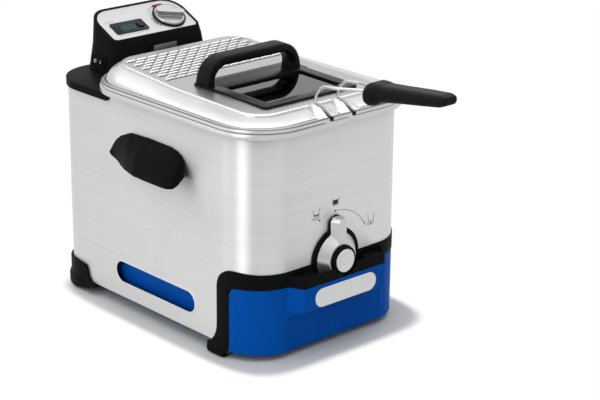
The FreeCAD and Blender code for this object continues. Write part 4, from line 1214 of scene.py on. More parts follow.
@dataclass
class Housing(Assembly):
    """Steel jacket, black front bezel, rear deck, feet and side handles."""

    body: str = "housing"
    bottom: float = 16.0
    top: float = 285.0
    low_edge: float = 108.0
    deck_seat: float = 281.0
    deck_front: float = 75.0
    step_y: float = -142.0
    slot_y: Flat = (-92.0, 68.0)
    slot_z: Flat = (36.5, 65.5)
    slot_radius: float = 14.4
    bead: Wire = Wire(0.95, sides=10, closed=True)
    bead_sunk: float = 0.25
    opening: Plan = Plan(127.0, -196.0, 122.0, 52.0, 52.0)
    outline: Plan = Plan(132.5, -201.5, 201.5, 58.0, 58.0)
    seat_inset: float = 1.0
    seat_z: Flat = (283.6, 284.6)
    handle: HandleHood = HandleHood()
    proud: float = 1.5
    band_low: float = 94.0
    band_high: float = 113.2
    bar_front: float = -155.0
    bar_rear: float = -135.0
    shoulder: float = 26.0
    inner_corner: float = 10.0
    hump: float = 2.4
    hump_run: float = 40.0
    foot_rear: Table = ((0.0, 44.0), (0.3, 36.0), (1.4, 29.0), (3.8, 23.0), (7.2, 18.5),
                        (10.6, 15.8), (12.6, 15.6), (13.8, 14.2), (13.8, 12.6), (13.2, 11.6),
                        (13.1, 6.0), (12.6, 3.6), (11.0, 2.2), (8.0, 2.0), (2.0, 2.0))
    foot_front: Table = ((10.0, 2.4), (5.0, 4.6), (1.5, 8.0), (0.0, 13.0))
    foot_flare: Table = ((2.0, 4.9), (6.0, 5.2), (12.0, 4.4), (18.0, 2.3), (24.0, 1.0),
                         (36.0, 0.0))
    foot_levels: tuple[float, ...] = (4, 8, 12, 15, 18, 21, 24, 28, 32, 36)
    flare_run: Flat = (14.0, 6.0)
    knob_z: float = 113.5
    hub_r: float = 19.3
    notch: Flat = (197.8, 342.2)
    pocket_r: float = 39.8
    lip: float = 107.6
    shelf_inset: float = 1.5
    shelf_z: Flat = (97.0, 105.0)
    marks_y: float = -201.56

    def build(self) -> None:
        """Makes every piece of the housing."""
        self.jacket()
        self.slot_beads()
        self.bezel()
        self.collar()
        self.dial_marks()
        soft, fine = Finishing(bevel=0.8), Finishing(bevel=0.4)
        self.eased("rear_deck", BLACK, Finishing(bevel=1.4, bevel_steps=4))
        for _, side in SIDES:
            self.eased("rear_foot_" + side, BLACK, Finishing(voxel=0.7, soften=5))
            self.eased("drawer_rail_" + side, INSIDE_STEEL, soft)
        for way, side in SIDES:
            self.side_handle(way, side)
        for node, finish, finishing in (
                ("foot_pads", RUBBER, Finishing(bevel=0.5)), ("shaft_bush", GRIP, soft),
                ("drain_valve_body", VALVE, soft),
                ("heat_shield", INSIDE_STEEL, Finishing(bevel=0.3, bevel_steps=2)),
                ("drain_seal", RUBBER, fine), ("valve_screws", SCREW_STEEL, fine),
                ("side_handle_screws", SCREW_STEEL, fine)):
            self.eased(node, finish, finishing)

    def slot_loop(self, side: float) -> Shape:
        """Outline of a side slot as distances along the skin and heights."""
        loop = rounded_loop(*self.slot_y, *self.slot_z, self.slot_radius, 10)
        return [(side * WRAP.along_side(y), z) for y, z in loop]

    def jacket(self) -> None:
        """Brushed steel jacket with its side slots and the flange round the bowl opening."""
        step, deck, end = WRAP.along_side(self.step_y), WRAP.along_side(self.deck_front), WRAP.end
        right = [(0, self.low_edge), (step, self.low_edge), (step, self.bottom), (end, self.bottom),
                 (end, self.deck_seat), (deck, self.deck_seat), (deck, self.top), (0, self.top)]
        left = [(-along, z) for along, z in reversed(right)][1:-1]
        jacket = wrapped_plate("steel_jacket", right + left, [self.slot_loop(-1), self.slot_loop(1)],
                               lambda along, z: 0.0)
        self.add(jacket, STEEL, "outer_housing", finishing=Finishing(wall=1.0, bevel=0.35, bevel_steps=1))
        low, high = self.seat_z
        rows = [self.outline.level(z, self.seat_inset) for z in (low, high)]
        rows += [self.opening.level(z) for z in (high, low)]
        flange = Skin()
        rings = flange.loft(rows)
        flange.bridge(rings[-1], rings[0])
        self.add(flange.to_object("bowl_seat"), STEEL, finishing=PLAIN)

    def side_handle(self, way: int, side: str) -> None:
        """Hooded handle on a long side with a round front end, open below for the fingers.

        Args:
            way: -1 for the left side, 1 for the right.
            side: name of the side.
        """
        half, hood = self.outline.half, self.handle
        rows = []
        for y, reach, low, top in hood.stations():
            rows.append([(way * (half + reach * out), y, low + (top - low) * up) for out, up in hood.crown])
        skin = Skin()
        skin.loft(rows, closed=False)
        obj = skin.to_object("side_handle_hood_" + side, heart=(way * half, *hood.heart))
        blended = Finishing(wall=3.0, even=False, voxel=0.9, soften=10)
        self.add(obj, BLACK, "side_handle_" + side, finishing=blended)

    def slot_beads(self) -> None:
        """Rolled bright edge of the side slots."""
        for way, side in SIDES:
            path = [(*WRAP.place(along, -self.bead_sunk), z) for along, z in self.slot_loop(way)]
            self.wired("slot_bead_" + side, [path], self.bead, STEEL)

    def foot_out(self, along: float, z: float) -> float:
        """How far the bezel stands out from the skin; its feet flare towards the floor."""
        start, end = (WRAP.side_start - before for before in self.flare_run)
        return self.proud + between(z, self.foot_flare) * smooth_step(abs(along), start, end)

    def bezel(self) -> None:
        """Black band with its two bars and feet that frames the oil box."""
        front, rear = WRAP.along_side(self.bar_front), WRAP.along_side(self.bar_rear)
        crest, start = rear - self.shoulder, rear - self.shoulder - self.hump_run
        right = [(0, self.band_high)]
        for step in range(11):
            along = start + self.hump_run * step / 10
            right.append((along, self.band_high + self.hump * smooth_step(along, start, crest)))
        right += arc((crest, self.band_high + self.hump - self.shoulder), self.shoulder, 90, 0, 12)[1:]
        right += [(rear + out, z) for out, z in self.foot_rear]
        right += [(front + out, z) for out, z in self.foot_front]
        corner_z = self.band_low - self.inner_corner
        right.append((front, corner_z))
        right += arc((front - self.inner_corner, corner_z), self.inner_corner, 0, 90, 8)[1:]
        right.append((0, self.band_low))
        left = [(-along, z) for along, z in reversed(right)][1:-1]
        plate = wrapped_plate("front_bezel_band", right + left, [], self.foot_out, self.foot_levels)
        self.add(plate, BLACK, "front_bezel", finishing=Finishing(wall=3.4, bevel=0.9))

    def collar(self) -> None:
        """Black face of the swelling under the drain knob, notched for the hub, with a shelf behind it."""
        line = BULGE.line()
        lengths = [0.0]
        for (x0, y0), (x1, y1) in zip(line, line[1:]):
            lengths.append(lengths[-1] + math.hypot(x1 - x0, y1 - y0))
        middle = lengths[-1] / 2
        places = [(length - middle, x) for length, (x, _) in zip(lengths, line)]
        depths = [(length - middle, y) for length, (_, y) in zip(lengths, line)]
        notch = arc((0.0, self.knob_z), self.hub_r, *self.notch, 24)
        edge = [(-middle, self.band_low), (middle, self.band_low), (middle, self.lip)]
        edge += notch[::-1] + [(-middle, self.lip)]
        planes = [((along, 0, 0), (1, 0, 0)) for along, _ in places]
        face = bent_plate("knob_collar", [edge], planes,
                          lambda along, z: row((between(along, places), between(along, depths), z)))
        self.add(face, BLACK, finishing=Finishing(wall=2.4, bevel=0.7))
        for way, side in SIDES:
            inner = [(x, y) for x, y in BULGE.line(self.shelf_inset)[::way] if way * x > self.pocket_r]
            loop = [(way * self.pocket_r, BULGE.root), (way * self.pocket_r, inner[0][1])] + inner
            shelf = Skin()
            shelf.loft([[(x, y, z) for x, y in loop] for z in self.shelf_z], caps=True)
            self.add(shelf.to_object("knob_shelf_" + side), BLACK, finishing=PLAIN)

    def dial_marks(self) -> None:
        """Printed arc, dots and plain vessel signs round the drain knob."""
        arc_r, sign_r = 59.5, 71.0

        def polar(radius: float, degrees: float) -> Flat:
            """Place on the front at an angle from straight up."""
            turn = math.radians(degrees)
            return radius * math.sin(turn), self.knob_z + radius * math.cos(turn)

        shapes = stroke([polar(arc_r, -3 + 59 * step / 40) for step in range(41)], 0.55)
        shapes += [dot(*polar(arc_r, turn), 1.25) for turn in (-26.5, 0.0, 57.5)]
        shapes += [dot(*polar(arc_r, turn), 0.7) for turn in (-22.0, -17.5, -13.0, 61.0)]
        for degrees, fill in ((-26.5, 0.3), (0.0, 0.8), (60.0, 0.0)):
            x, z = polar(sign_r, degrees)
            shapes += self.vessel(x, z, fill)
            if degrees:
                shapes += stroke([(x - 8.0, z - 6.2), (x + 6.5, z - 6.2)], 0.5)
                shapes += stroke([(x - 6.0, z - 8.0), (x + 4.5, z - 8.0)], 0.5)
        self.add(flat_marks("dial_marks", shapes, lambda u, v: row((u, self.marks_y, v))), PRINT)

    def vessel(self, x: float, z: float, fill: float) -> list[Shape]:
        """Plain vessel sign.

        Args:
            x, z: its middle.
            fill: share of its height that is filled; an empty one has a stroke below.

        Returns:
            The shapes of the sign.
        """
        wide, low, high = 5.0, z - 4.0, z + 4.5
        shapes = stroke([(x - wide - 1.2, high + 1.0), (x - wide, high), (x - wide + 0.8, low),
                         (x + wide - 0.8, low), (x + wide, high), (x + wide + 1.2, high + 1.0)], 0.6)
        if fill:
            level = low + (high - low) * fill
            shapes.append([(x - wide + 1.4, low + 1.0), (x + wide - 1.4, low + 1.0),
                           (x + wide - 0.8, level), (x - wide + 0.8, level)])
        else:
            shapes += stroke([(x, low - 1.0), (x, low - 4.0)], 1.2)
        return shapes


# Oil box

@dataclass
class OilBox(Assembly):
    """Blue drawer for the oil, its swelling front and bare badge plate."""

    body: str = "oil_box"
    proud: float = 0.8
    low: float = 8.5
    high: float = 93.4
    edge: float = -155.6
    corner: float = 9.4
    columns: int = 60
    rows: int = 56
    fine_x: tuple[float, ...] = (*range(65, 75), *range(76, 81), 82)
    swell: float = 20.1
    swell_end: float = 82.5
    swell_x: Flat = (67.0, 79.0)
    swell_z: Flat = (52.0, 64.0)
    slant_x: float = 79.2
    slant_run: float = 10.5
    slant_share: float = 0.55
    recess: float = 1.3
    recess_x: Flat = (77.0, 79.5)
    recess_z: Flat = (50.0, 56.0)
    tank: Plan = Plan(121.5, -200.2, 180.0, 48.0, 46.0)
    tank_low: float = 11.0
    tank_high: float = 72.0
    tank_wall: float = 2.4
    rib_x: Flat = (121.0, 125.8)
    rib_y: Flat = (-116.0, 130.0)
    rib_z: Flat = (21.3, 24.3)
    rib_r: float = 0.8
    badge_half: float = 51.3
    badge_z: Flat = (64.0, 88.4)
    badge_r: float = 12.1
    badge_rim: Table = ((0.0, -222.2), (0.0, -223.2), (0.5, -223.7), (1.6, -223.8), (2.4, -223.4),
                        (3.0, -223.3))

    def build(self) -> None:
        """Makes the box and its badge."""
        self.front()
        self.drawer()
        self.badge()

    def swelling(self, x: float, z: float) -> float:
        """How far the front stands out at a place: full at the top, gone near the bottom.

        Args:
            x: place across the front.
            z: height.

        Returns:
            The distance.
        """
        eased = 1.0 - smooth_step(abs(x), *self.swell_x)
        straight = min(1.0, max(0.0, (self.slant_x - abs(x)) / self.slant_run))
        across = (1.0 - self.slant_share) * eased + self.slant_share * straight
        hollow = (1.0 - smooth_step(abs(x), *self.recess_x)) * (1.0 - smooth_step(z, *self.recess_z))
        return self.swell * across * smooth_step(z, *self.swell_z) - self.recess * hollow

    def front(self) -> None:
        """Front of the box as one fine skin that follows the housing and swells in the middle."""
        reach = -WRAP.along_side(self.edge)
        even = {round(reach * step / self.columns, 3) for step in range(-self.columns, self.columns + 1)}
        fine = {way * value for way, _ in SIDES for value in self.fine_x}
        rows = []
        for along in sorted(even | fine):
            gap = abs(reach) - abs(along)
            drop = 0.0
            if gap < self.corner:
                drop = self.corner - math.sqrt(max(0.0, self.corner ** 2 - (self.corner - gap) ** 2))
            line = []
            for step in range(self.rows + 1):
                z = self.low + (self.high - drop - self.low) * (step / self.rows)
                x, y = WRAP.place(along, self.proud)
                if abs(along) < self.swell_end:
                    y -= self.swelling(along, z)
                line.append((x, y, z))
            rows.append(line)
        skin = Skin()
        skin.loft(rows, closed=False)
        obj = skin.to_object("oil_box_front", heart=(0, 0, 60))
        self.add(obj, BLUE, finishing=Finishing(wall=2.4, bevel=0.5, bevel_steps=2, sharp=50.0))

    def drawer(self) -> None:
        """Tank behind the front with its floor and the ribs that it runs on."""
        low, high = self.tank_low, self.tank_high
        outside, inside = self.tank.loop(), self.tank.loop(self.tank_wall)
        sections = ((outside, 0.97, 0.985, low), (outside, 1.0, 1.0, low + 4.0),
                    (outside, 1.0, 1.0, high - 0.8), (outside, 0.997, 0.998, high),
                    (inside, 1.003, 1.002, high), (inside, 1.0, 1.0, high - 0.8),
                    (inside, 1.0, 1.0, low + 6.0), (inside, 0.97, 0.985, low + self.tank_wall))
        rows = [[(x * across, y * along, z) for x, y in loop] for loop, across, along, z in sections]
        self.lofted("oil_tank", rows, BLUE, "oil_box")
        for way, side in SIDES:
            loop = rounded_loop(*sorted(way * x for x in self.rib_x), *self.rib_z, self.rib_r, 3)
            self.lofted("tank_rib_" + side, [[(x, y, z) for x, z in loop] for y in self.rib_y], BLUE)

    def badge(self) -> None:
        """Bare silver plate with a raised rim on the swelling."""
        half, (low, high) = self.badge_half, self.badge_z
        rows = []
        for inset, y in self.badge_rim:
            radius = self.badge_r - inset
            loop = rounded_loop(-half + inset, half - inset, low + inset, high - inset, radius, 12)
            rows.append([(x, y, z) for x, z in loop])
        self.lofted("badge_plate", rows, PLATE, "oil_box_badge")


# Drain knob

@dataclass
class DrainKnob(Assembly):
    """Knob of the drain valve with its shaft and plug."""

    body: str = "drain_control"
    z: float = 113.5
    steps: int = 64
    ring: Table = ((18.4, -212.6), (18.5, -219.2), (18.2, -219.9), (17.4, -220.3), (15.6, -220.3),
                   (15.0, -219.9), (14.9, -219.2))
    cap: Table = ((14.8, -219.3), (14.8, -221.2), (14.4, -221.8), (13.6, -222.0), (12.8, -221.9),
                  (12.4, -221.6), (4.0, -221.55))

    def build(self) -> None:
        """Makes the knob's pieces."""
        fine = Finishing(bevel=0.4)
        self.eased("drain_knob_base", BLACK, Finishing(bevel=0.7))
        self.eased("drain_knob", SILVER, Finishing(voxel=0.5, soften=7), flat_angle=0.5)
        self.lofted("knob_ring", self.turned(self.ring), BLACK, "drain_knob_hub")
        self.lofted("knob_cap", self.turned(self.cap), PLATE, "drain_knob_disc")
        self.eased("drain_shaft", SCREW_STEEL, fine)
        self.eased("drain_plug", VALVE, fine)

    def turned(self, profile: Sequence[Flat]) -> list[list[Spot]]:
        """Rings of points about the knob axis, one for each pair of radius and depth."""
        return [[(x, y, z) for x, z in arc((0.0, self.z), radius, 0, 360, self.steps)[:-1]]
                for radius, y in profile]


# Bowl

@dataclass
class Bowl(Assembly):
    """Removable oil bowl with its rolled rim."""

    body: str = "bowl"
    rim: Plan = Plan(141.5, -210.5, 126.0, 66.0, 66.0)
    top: Plan = Plan(124.0, -193.0, 117.0, 50.0, 50.0)
    low: Plan = Plan(112.0, -180.0, 105.0, 45.0, 45.0)
    brim: float = 293.0
    floor: float = 140.0
    sheet: float = 1.2
    rim_levels: Table = ((285.5, 1.5), (285.5, 0.3), (286.2, 0.0), (290.4, 0.0), (292.1, 0.7),
                         (293.0, 2.4), (293.0, 9.0))
    top_levels: Table = ((292.9, 1.0), (291.6, 2.2))
    wall_shares: tuple[float, ...] = (0.05, 0.5, 0.93)
    floor_levels: Table = ((4.0, 3.0), (1.6, 8.0), (1.2, 16.0))

    def build(self) -> None:
        """Makes the bowl and its drain filter."""
        rows = [self.rim.level(z, inset) for z, inset in self.rim_levels]
        rows += [self.top.level(z, inset) for z, inset in self.top_levels]
        for share in self.wall_shares:
            wall = self.top.mixed(self.low, share)
            rows.append(wall.level(self.brim - (self.brim - self.floor) * share, self.sheet))
        rows += [self.low.level(self.floor + rise, inset) for rise, inset in self.floor_levels]
        skin = Skin()
        rings = skin.loft(rows)
        skin.faces.append(tuple(rings[-1]))
        obj = skin.to_object("oil_bowl", heart=(0, 0, 300))
        with edited(obj.data) as work:
            lowest = min(work.faces, key=lambda face: face.calc_center_median().z)
            if lowest.normal.z < 0:
                bmesh.ops.reverse_faces(work, faces=work.faces)
        self.add(obj, LID_STEEL, "bowl", finishing=Finishing(wall=1.0, sharp=60.0))
        self.eased("drain_filter", INSIDE_STEEL, Finishing(bevel=0.4))


# Basket

@dataclass
class Basket(Assembly):
    """Wire basket with its rim, handle wires and grip."""

    body: str = "basket"
    top: Plan = Plan(103.0, -175.0, 86.0, 30.0, 30.0)
    low: Plan = Plan(96.0, -168.0, 78.0, 28.0, 28.0)
    inset: float = 0.6
    floor: float = 172.8
    edge: float = 266.0
    hoops: int = 8
    corner_steps: int = 6
    pitch: float = 12.5
    side_from: float = -130.0
    side_wires: int = 15
    floor_from: float = -144.0
    floor_wires: int = 17
    floor_lift: float = 1.0
    end_pitch: float = 12.0
    end_wires: int = 5
    thin: Wire = Wire(0.62, sides=6)
    rim: Wire = Wire(2.0, closed=True)
    stem: Wire = Wire(2.0, 22.0, 18)
    stem_path: tuple[Spot, ...] = ((18.5, -183.0, 248), (18.5, -183.0, 331.5), (18.5, -222, 335.5),
                                   (9, -258, 339.5), (9, -279, 340.5))

    def build(self) -> None:
        """Makes the basket's pieces."""
        self.mesh()
        rim_path = self.top.level(self.edge + self.rim.radius, self.inset, steps=8)
        self.wired("basket_rim_wire", [rim_path], self.rim, CHROME, "basket_rim")
        self.eased("basket_bracket", CHROME, Finishing(bevel=0.5))
        paths = [[(way * x, y, z) for x, y, z in self.stem_path] for way, _ in SIDES]
        self.wired("handle_wires", paths, self.stem, CHROME, "basket_handle_wires")
        self.eased("basket_grip", GRIP, Finishing(voxel=0.6, soften=6), flat_angle=0.2)

    def mesh(self) -> None:
        """Wire mesh of the walls and the floor."""
        low, top, inset, floor, edge = self.low, self.top, self.inset, self.floor, self.edge
        paths: list[list[Spot]] = []
        for step in range(self.hoops + 1):
            share = step / self.hoops
            z = floor + (edge - floor) * share
            loop = low.mixed(top, share).level(z, inset, steps=self.corner_steps)
            paths.append(loop + loop[:1])
        uprights = [self.side_from + self.pitch * step for step in range(self.side_wires)]
        feet, heads = (plan.level(z, inset, uprights, self.corner_steps)
                       for plan, z in ((low, floor), (top, edge)))
        paths += [[foot, head] for foot, head in zip(feet, heads)]
        for step in range(-self.end_wires, self.end_wires + 1):
            x = self.end_pitch * step
            paths.append([(x, low.front + inset, floor), (x, low.rear - inset, floor)])
            paths.append([(x, low.front + inset, floor), (x, top.front + inset, edge)])
            paths.append([(x, low.rear - inset, floor), (x, top.rear - inset, edge)])
        for step in range(self.floor_wires):
            y = self.floor_from + self.pitch * step
            paths.append([(x, y, floor + self.floor_lift) for x in (-low.half + inset, low.half - inset)])
        self.wired("basket_mesh", paths, self.thin, CHROME, "basket", "basket_side_left",
                   "basket_side_right", "basket_ends")


# Lid

def louvre_tree() -> Tree:
    """Geometry tree that sets one louvre tile out in staggered rows on a slope.

    Returns:
        The tree.
    """
    sizes = {"Long row": "Int", "Long rows": "Int", "Pitch across": "Float", "Pitch along": "Float",
             "Slope": "Float", "Middle": "Vector"}
    tree, source, plain = geometry_group("louvre rows", sizes)
    given = source.outputs
    joined = tree.nodes.new("GeometryNodeJoinGeometry")
    every_second = add_math(tree, "MULTIPLY", given["Pitch along"], 2.0)
    ways = (("X", "Long row", given["Pitch across"]), ("Y", "Long rows", every_second))
    for less in (0, 1):
        grid = tree.nodes.new("GeometryNodeMeshGrid")
        for axis, count, pitch in ways:
            tiles = add_math(tree, "SUBTRACT", given[count], less)
            length = add_math(tree, "MULTIPLY", add_math(tree, "SUBTRACT", tiles, 1.0), pitch)
            feed(tree, grid, {"Vertices " + axis: tiles, "Size " + axis: length})
        feed(tree, joined, {"Geometry": grid.outputs["Mesh"]})
    place = add_node(tree, "GeometryNodeInstanceOnPoints", {
        "Points": joined.outputs["Geometry"], "Instance": given["Geometry"]})
    turn = add_node(tree, "ShaderNodeCombineXYZ", {"X": given["Slope"]})
    move = add_node(tree, "GeometryNodeTransform", {
        "Geometry": place.outputs["Instances"], "Rotation": turn.outputs["Vector"],
        "Translation": given["Middle"]})
    feed(tree, plain, {"Geometry": move.outputs["Geometry"]})
    return tree


@dataclass
class Lid(Assembly):
    """Steel lid with window, handle, louvres and the two hoods for the handle wires."""

    body: str = "lid"
    flange: Plan = Plan(141.0, -212.0, 124.5, 66.5, 66.5)
    foot: Plan = Plan(134.0, -205.0, 118.0, 59.5, 59.5)
    plateau: Plan = Plan(107.0, -178.0, 105.0, 34.0, 34.0)
    bottom: float = 293.3
    foot_z: float = 298.5
    front_z: float = 306.5
    front_slope: float = 0.02
    crease: float = -25.0
    rear_slope: float = 0.07
    rear_cut: float = 40.0
    rim_levels: Table = ((0.2, 1.6), (0.2, 0.4), (0.7, 0.0))
    rim_r: float = 2.4
    seam_drops: Table = ((0.0, -1.5), (0.9, -1.1), (0.9, 0.1), (0.1, 0.5))
    seam_half: float = 0.48
    flank_steps: int = 12
    flank_round: float = 0.7
    edge_r: float = 3.2
    top_from: float = 304.0
    level_from: float = 0.98
    window: Flat = (-148.0, -65.0)
    window_half: float = 65.0
    rows_from: float = 5.0
    pitch_across: float = 17.6
    pitch_along: float = 8.0
    long_row: int = 11
    long_rows: int = 6
    louvre_half: float = 6.6
    louvre_deep: float = 0.60
    louvre_lift: float = 1.4
    crest_lift: float = 2.2
    louvre_sunk: float = 1.1
    ground_near: float = 0.05
    handle_half: float = 77.5
    handle_y: Flat = (-53.5, -28.5)
    handle_top: float = 343.3
    handle_bar: float = 11.0
    handle_r: float = 26.5
    handle_edge_r: float = 3.4
    handle_crown: float = 0.9
    handle_foot: float = 2.5
    handle_flare: Flat = (0.05, 0.12)
    flare_run: float = 9.0
    wire_x: float = 18.5
    slit: float = 3.5
    slit_rear: float = -180.3
    slit_near: float = -170.0
    lip: float = 6.0
    hood_steps: int = 10
    hood_sections: tuple[tuple[float, ...], ...] = (
        (-173.5, 5.0, 306.7, 304.6), (-178.0, 7.2, 308.4, 302.6), (-183.0, 9.6, 309.5, 299.6),
        (-188.0, 12.2, 309.3, 298.4), (-193.0, 14.4, 308.0, 298.0), (-198.0, 16.0, 305.6, 297.8),
        (-202.5, 16.9, 302.8, 297.6), (-206.5, 17.3, 299.8, 297.2), (-209.0, 17.3, 298.0, 296.8))

    def build(self) -> None:
        """Makes the lid's pieces."""
        self.pan()
        self.louvres()
        self.hoods()
        self.eased("lid_window_frame", GLOSS, Finishing(bevel=0.9))
        self.eased("lid_glass", CLEAR, Finishing(bevel=0.25, bevel_steps=1))
        self.handle()
        self.eased("lid_handle_screws", SCREW_STEEL, Finishing(bevel=0.4))
        self.paint(FILTER, "lid_filter")

    def height(self, y: float) -> float:
        """Height of the plateau at a depth."""
        front = self.front_z + self.front_slope * (min(y, self.crease) - self.plateau.front)
        return front + self.rear_slope * max(0.0, y - self.crease)

    def louvre_area(self) -> Spot:
        """Half width, front and rear of the louvre field.

        Returns:
            The three measures.
        """
        half = self.long_row * self.pitch_across / 2
        front = self.rows_from - self.pitch_along / 2
        return half, front, front + self.pitch_along * (2 * self.long_rows - 1)

    def pan(self) -> None:
        """Rim, rounded flank and top of the lid as one skin."""
        cuts = [self.window[1], self.crease, self.louvre_area()[1], self.rear_cut]
        rows = [self.flange.level(self.bottom + rise, inset, cuts) for rise, inset in self.rim_levels]
        for turn in (0, 30, 60, 90):
            bend = math.radians(turn)
            z = self.foot_z - self.rim_r + self.rim_r * math.sin(bend)
            rows.append(self.flange.level(z, self.rim_r * (1 - math.cos(bend)), cuts))
        rows += [self.foot.level(self.foot_z - drop, inset, cuts) for drop, inset in self.seam_drops]
        for step in range(1, self.flank_steps + 1):
            share, bend = step / self.flank_steps, math.radians(90 * step / self.flank_steps)
            straight = (1 - self.flank_round) * share
            plan = self.foot.mixed(self.plateau, self.flank_round * (1 - math.cos(bend)) + straight)
            rise = self.flank_round * math.sin(bend) + straight
            rows.append([(x, y, self.foot_z + (self.height(y) - self.edge_r - self.foot_z) * rise)
                         for x, y in plan.loop(0.0, cuts)])
        for turn in range(10, 91, 10):
            bend = math.radians(turn)
            loop = self.plateau.loop(self.edge_r * (1 - math.cos(bend)), cuts)
            rows.append([(x, y, self.height(y) - self.edge_r * (1 - math.sin(bend))) for x, y in loop])
        skin = Skin()
        rings = skin.loft(rows)
        self.fill_top(skin, rings[-1], rows[-1])
        obj = skin.to_object("lid_shell", heart=(0, -40, 200))
        self.cut_window(obj)
        self.cut_slits(obj)
        self.add(obj, LID_STEEL, "lid_pan", finishing=Finishing(wall=1.0, even=False, sharp=35.0))
        # The flat top gets the darker copy of the lid steel, painted shade over a real cross grain.
        self.dress(obj, PLATEAU_SHADED_STEEL, self.on_plateau)
        # The seam gets the dark copy of the lid steel, painted shade in the crease.
        self.dress(obj, SEAM_SHADE_STEEL, self.in_seam)

    def on_plateau(self, face: Face) -> bool:
        """Whether a face of the pan lies on its flat top."""
        x, y, z = drawn(face.center)
        return self.plateau.holds(x, y, self.edge_r - 0.5) and z > self.front_z - 1.0

    def in_seam(self, face: Face) -> bool:
        """Whether a face of the pan lies in the seam below the flank."""
        below = self.foot_z - drawn(face.center)[2]
        return abs(below - 0.5) < self.seam_half and face.normal.z > -0.1

    def fill_top(self, skin: Skin, ring: Sequence[int], places: Sequence[Spot]) -> None:
        """Closes the top with faces from side to side.

        Args:
            skin: skin of the pan.
            ring: numbers of the points of its last ring.
            places: those points.
        """
        right = [index for index in range(len(ring)) if places[index][0] > 0]
        left = [index for index in range(len(ring)) if places[index][0] < 0]
        right.sort(key=lambda index: (places[index][1], index))
        left.sort(key=lambda index: (places[index][1], -index))
        for r0, r1, l0, l1 in zip(right, right[1:], left, left[1:]):
            skin.faces.append((ring[l0], ring[r0], ring[r1], ring[l1]))

    def cut_out(self, obj: Piece, planes: Sequence[Plane], near: Callable[[bmesh.types.BMFace], bool],
                gone: Callable[[float, float], bool]) -> None:
        """Cuts some faces of a piece along planes and takes some of them away.

        Args:
            obj: the piece.
            planes: a place and a direction for each cut.
            near: tells whether a face may be cut.
            gone: tells from the distance off the middle and the depth of such a face whether it goes.
        """
        with edited(obj.data) as work:
            for place, way in planes:
                faces = [face for face in work.faces if near(face)]
                parts = dict.fromkeys(part for face in faces for part in (face, *face.edges, *face.verts))
                bmesh.ops.bisect_plane(work, geom=list(parts), plane_co=row(place), plane_no=way,
                                       dist=SAME_POINT)
            away = []
            for face in work.faces:
                x, y, _ = drawn(face.calc_center_median())
                if near(face) and gone(abs(x), y):
                    away.append(face)
            bmesh.ops.delete(work, geom=away, context="FACES")

    def cut_window(self, obj: Piece) -> None:
        """Opens the top under the glass and where the louvre tiles lie.

        Args:
            obj: the pan.
        """
        areas = [(self.window_half, *self.window), self.louvre_area()]
        planes = []
        for wide, low, high in areas:
            planes += [((x, 0, 0), (1, 0, 0)) for x in (wide, -wide)]
            planes += [((0, y, 0), (0, 1, 0)) for y in (low, high)]

        def on_top(face: bmesh.types.BMFace) -> bool:
            """Whether a face belongs to the top."""
            return face.normal.z > self.level_from and drawn(face.calc_center_median())[2] > self.top_from

        self.cut_out(obj, planes, on_top,
                     lambda x, y: any(x < wide and low < y < high for wide, low, high in areas))

    def cut_slits(self, obj: Piece) -> None:
        """Opens the front of the lid below the two slits of the hoods.

        Args:
            obj: the pan.
        """
        edges = [way * self.wire_x + flank * self.slit for way, _ in SIDES for flank in (-1, 1)]
        planes = [((x, 0, 0), (1, 0, 0)) for x in edges] + [((0, self.slit_rear, 0), (0, 1, 0))]
        rear = row((0, self.slit_near, 0)).y
        self.cut_out(obj, planes, lambda face: min(vert.co.y for vert in face.verts) < rear,
                     lambda x, y: abs(x - self.wire_x) < self.slit and y < self.slit_rear)

    def louvre_tile(self) -> Skin:
        """One louvre about the origin: an open slot with a raised lip in a flat tile.

        Returns:
            The skin of the tile.
        """
        half, deep = self.louvre_half, self.louvre_deep
        hole = rounded_loop(-half, half, -deep, deep, 0.55, 4)
        round_hole = rounded_loop(-half - 0.5, half + 0.5, -deep - 0.35, deep + 1.0, 1.0, 4)
        outer = rounded_loop(-half - 1.0, half + 1.0, -deep - 0.7, deep + 2.3, 1.45, 4)
        raised = [(x, y, self.louvre_lift * smooth_step(y, -0.3, deep)
                   * (1 - smooth_step(abs(x), half - 2.2, half))) for x, y in hole]
        crest = [(x, y, self.crest_lift * smooth_step(y, 0.0, deep + 1.0)
                  * (1 - smooth_step(abs(x), half - 1.4, half + 0.5))) for x, y in round_hole]
        edge = []
        for x, y in outer:
            across = self.pitch_across / 2 / abs(x) if x else math.inf
            along = self.pitch_along / 2 / abs(y) if y else math.inf
            edge.append((x * min(across, along), y * min(across, along), 0.0))
        sunk = [(x, y, z - self.louvre_sunk) for x, y, z in raised]
        tile = Skin()
        tile.loft([edge, [(x, y, 0.0) for x, y in outer], crest, raised, sunk])
        return tile

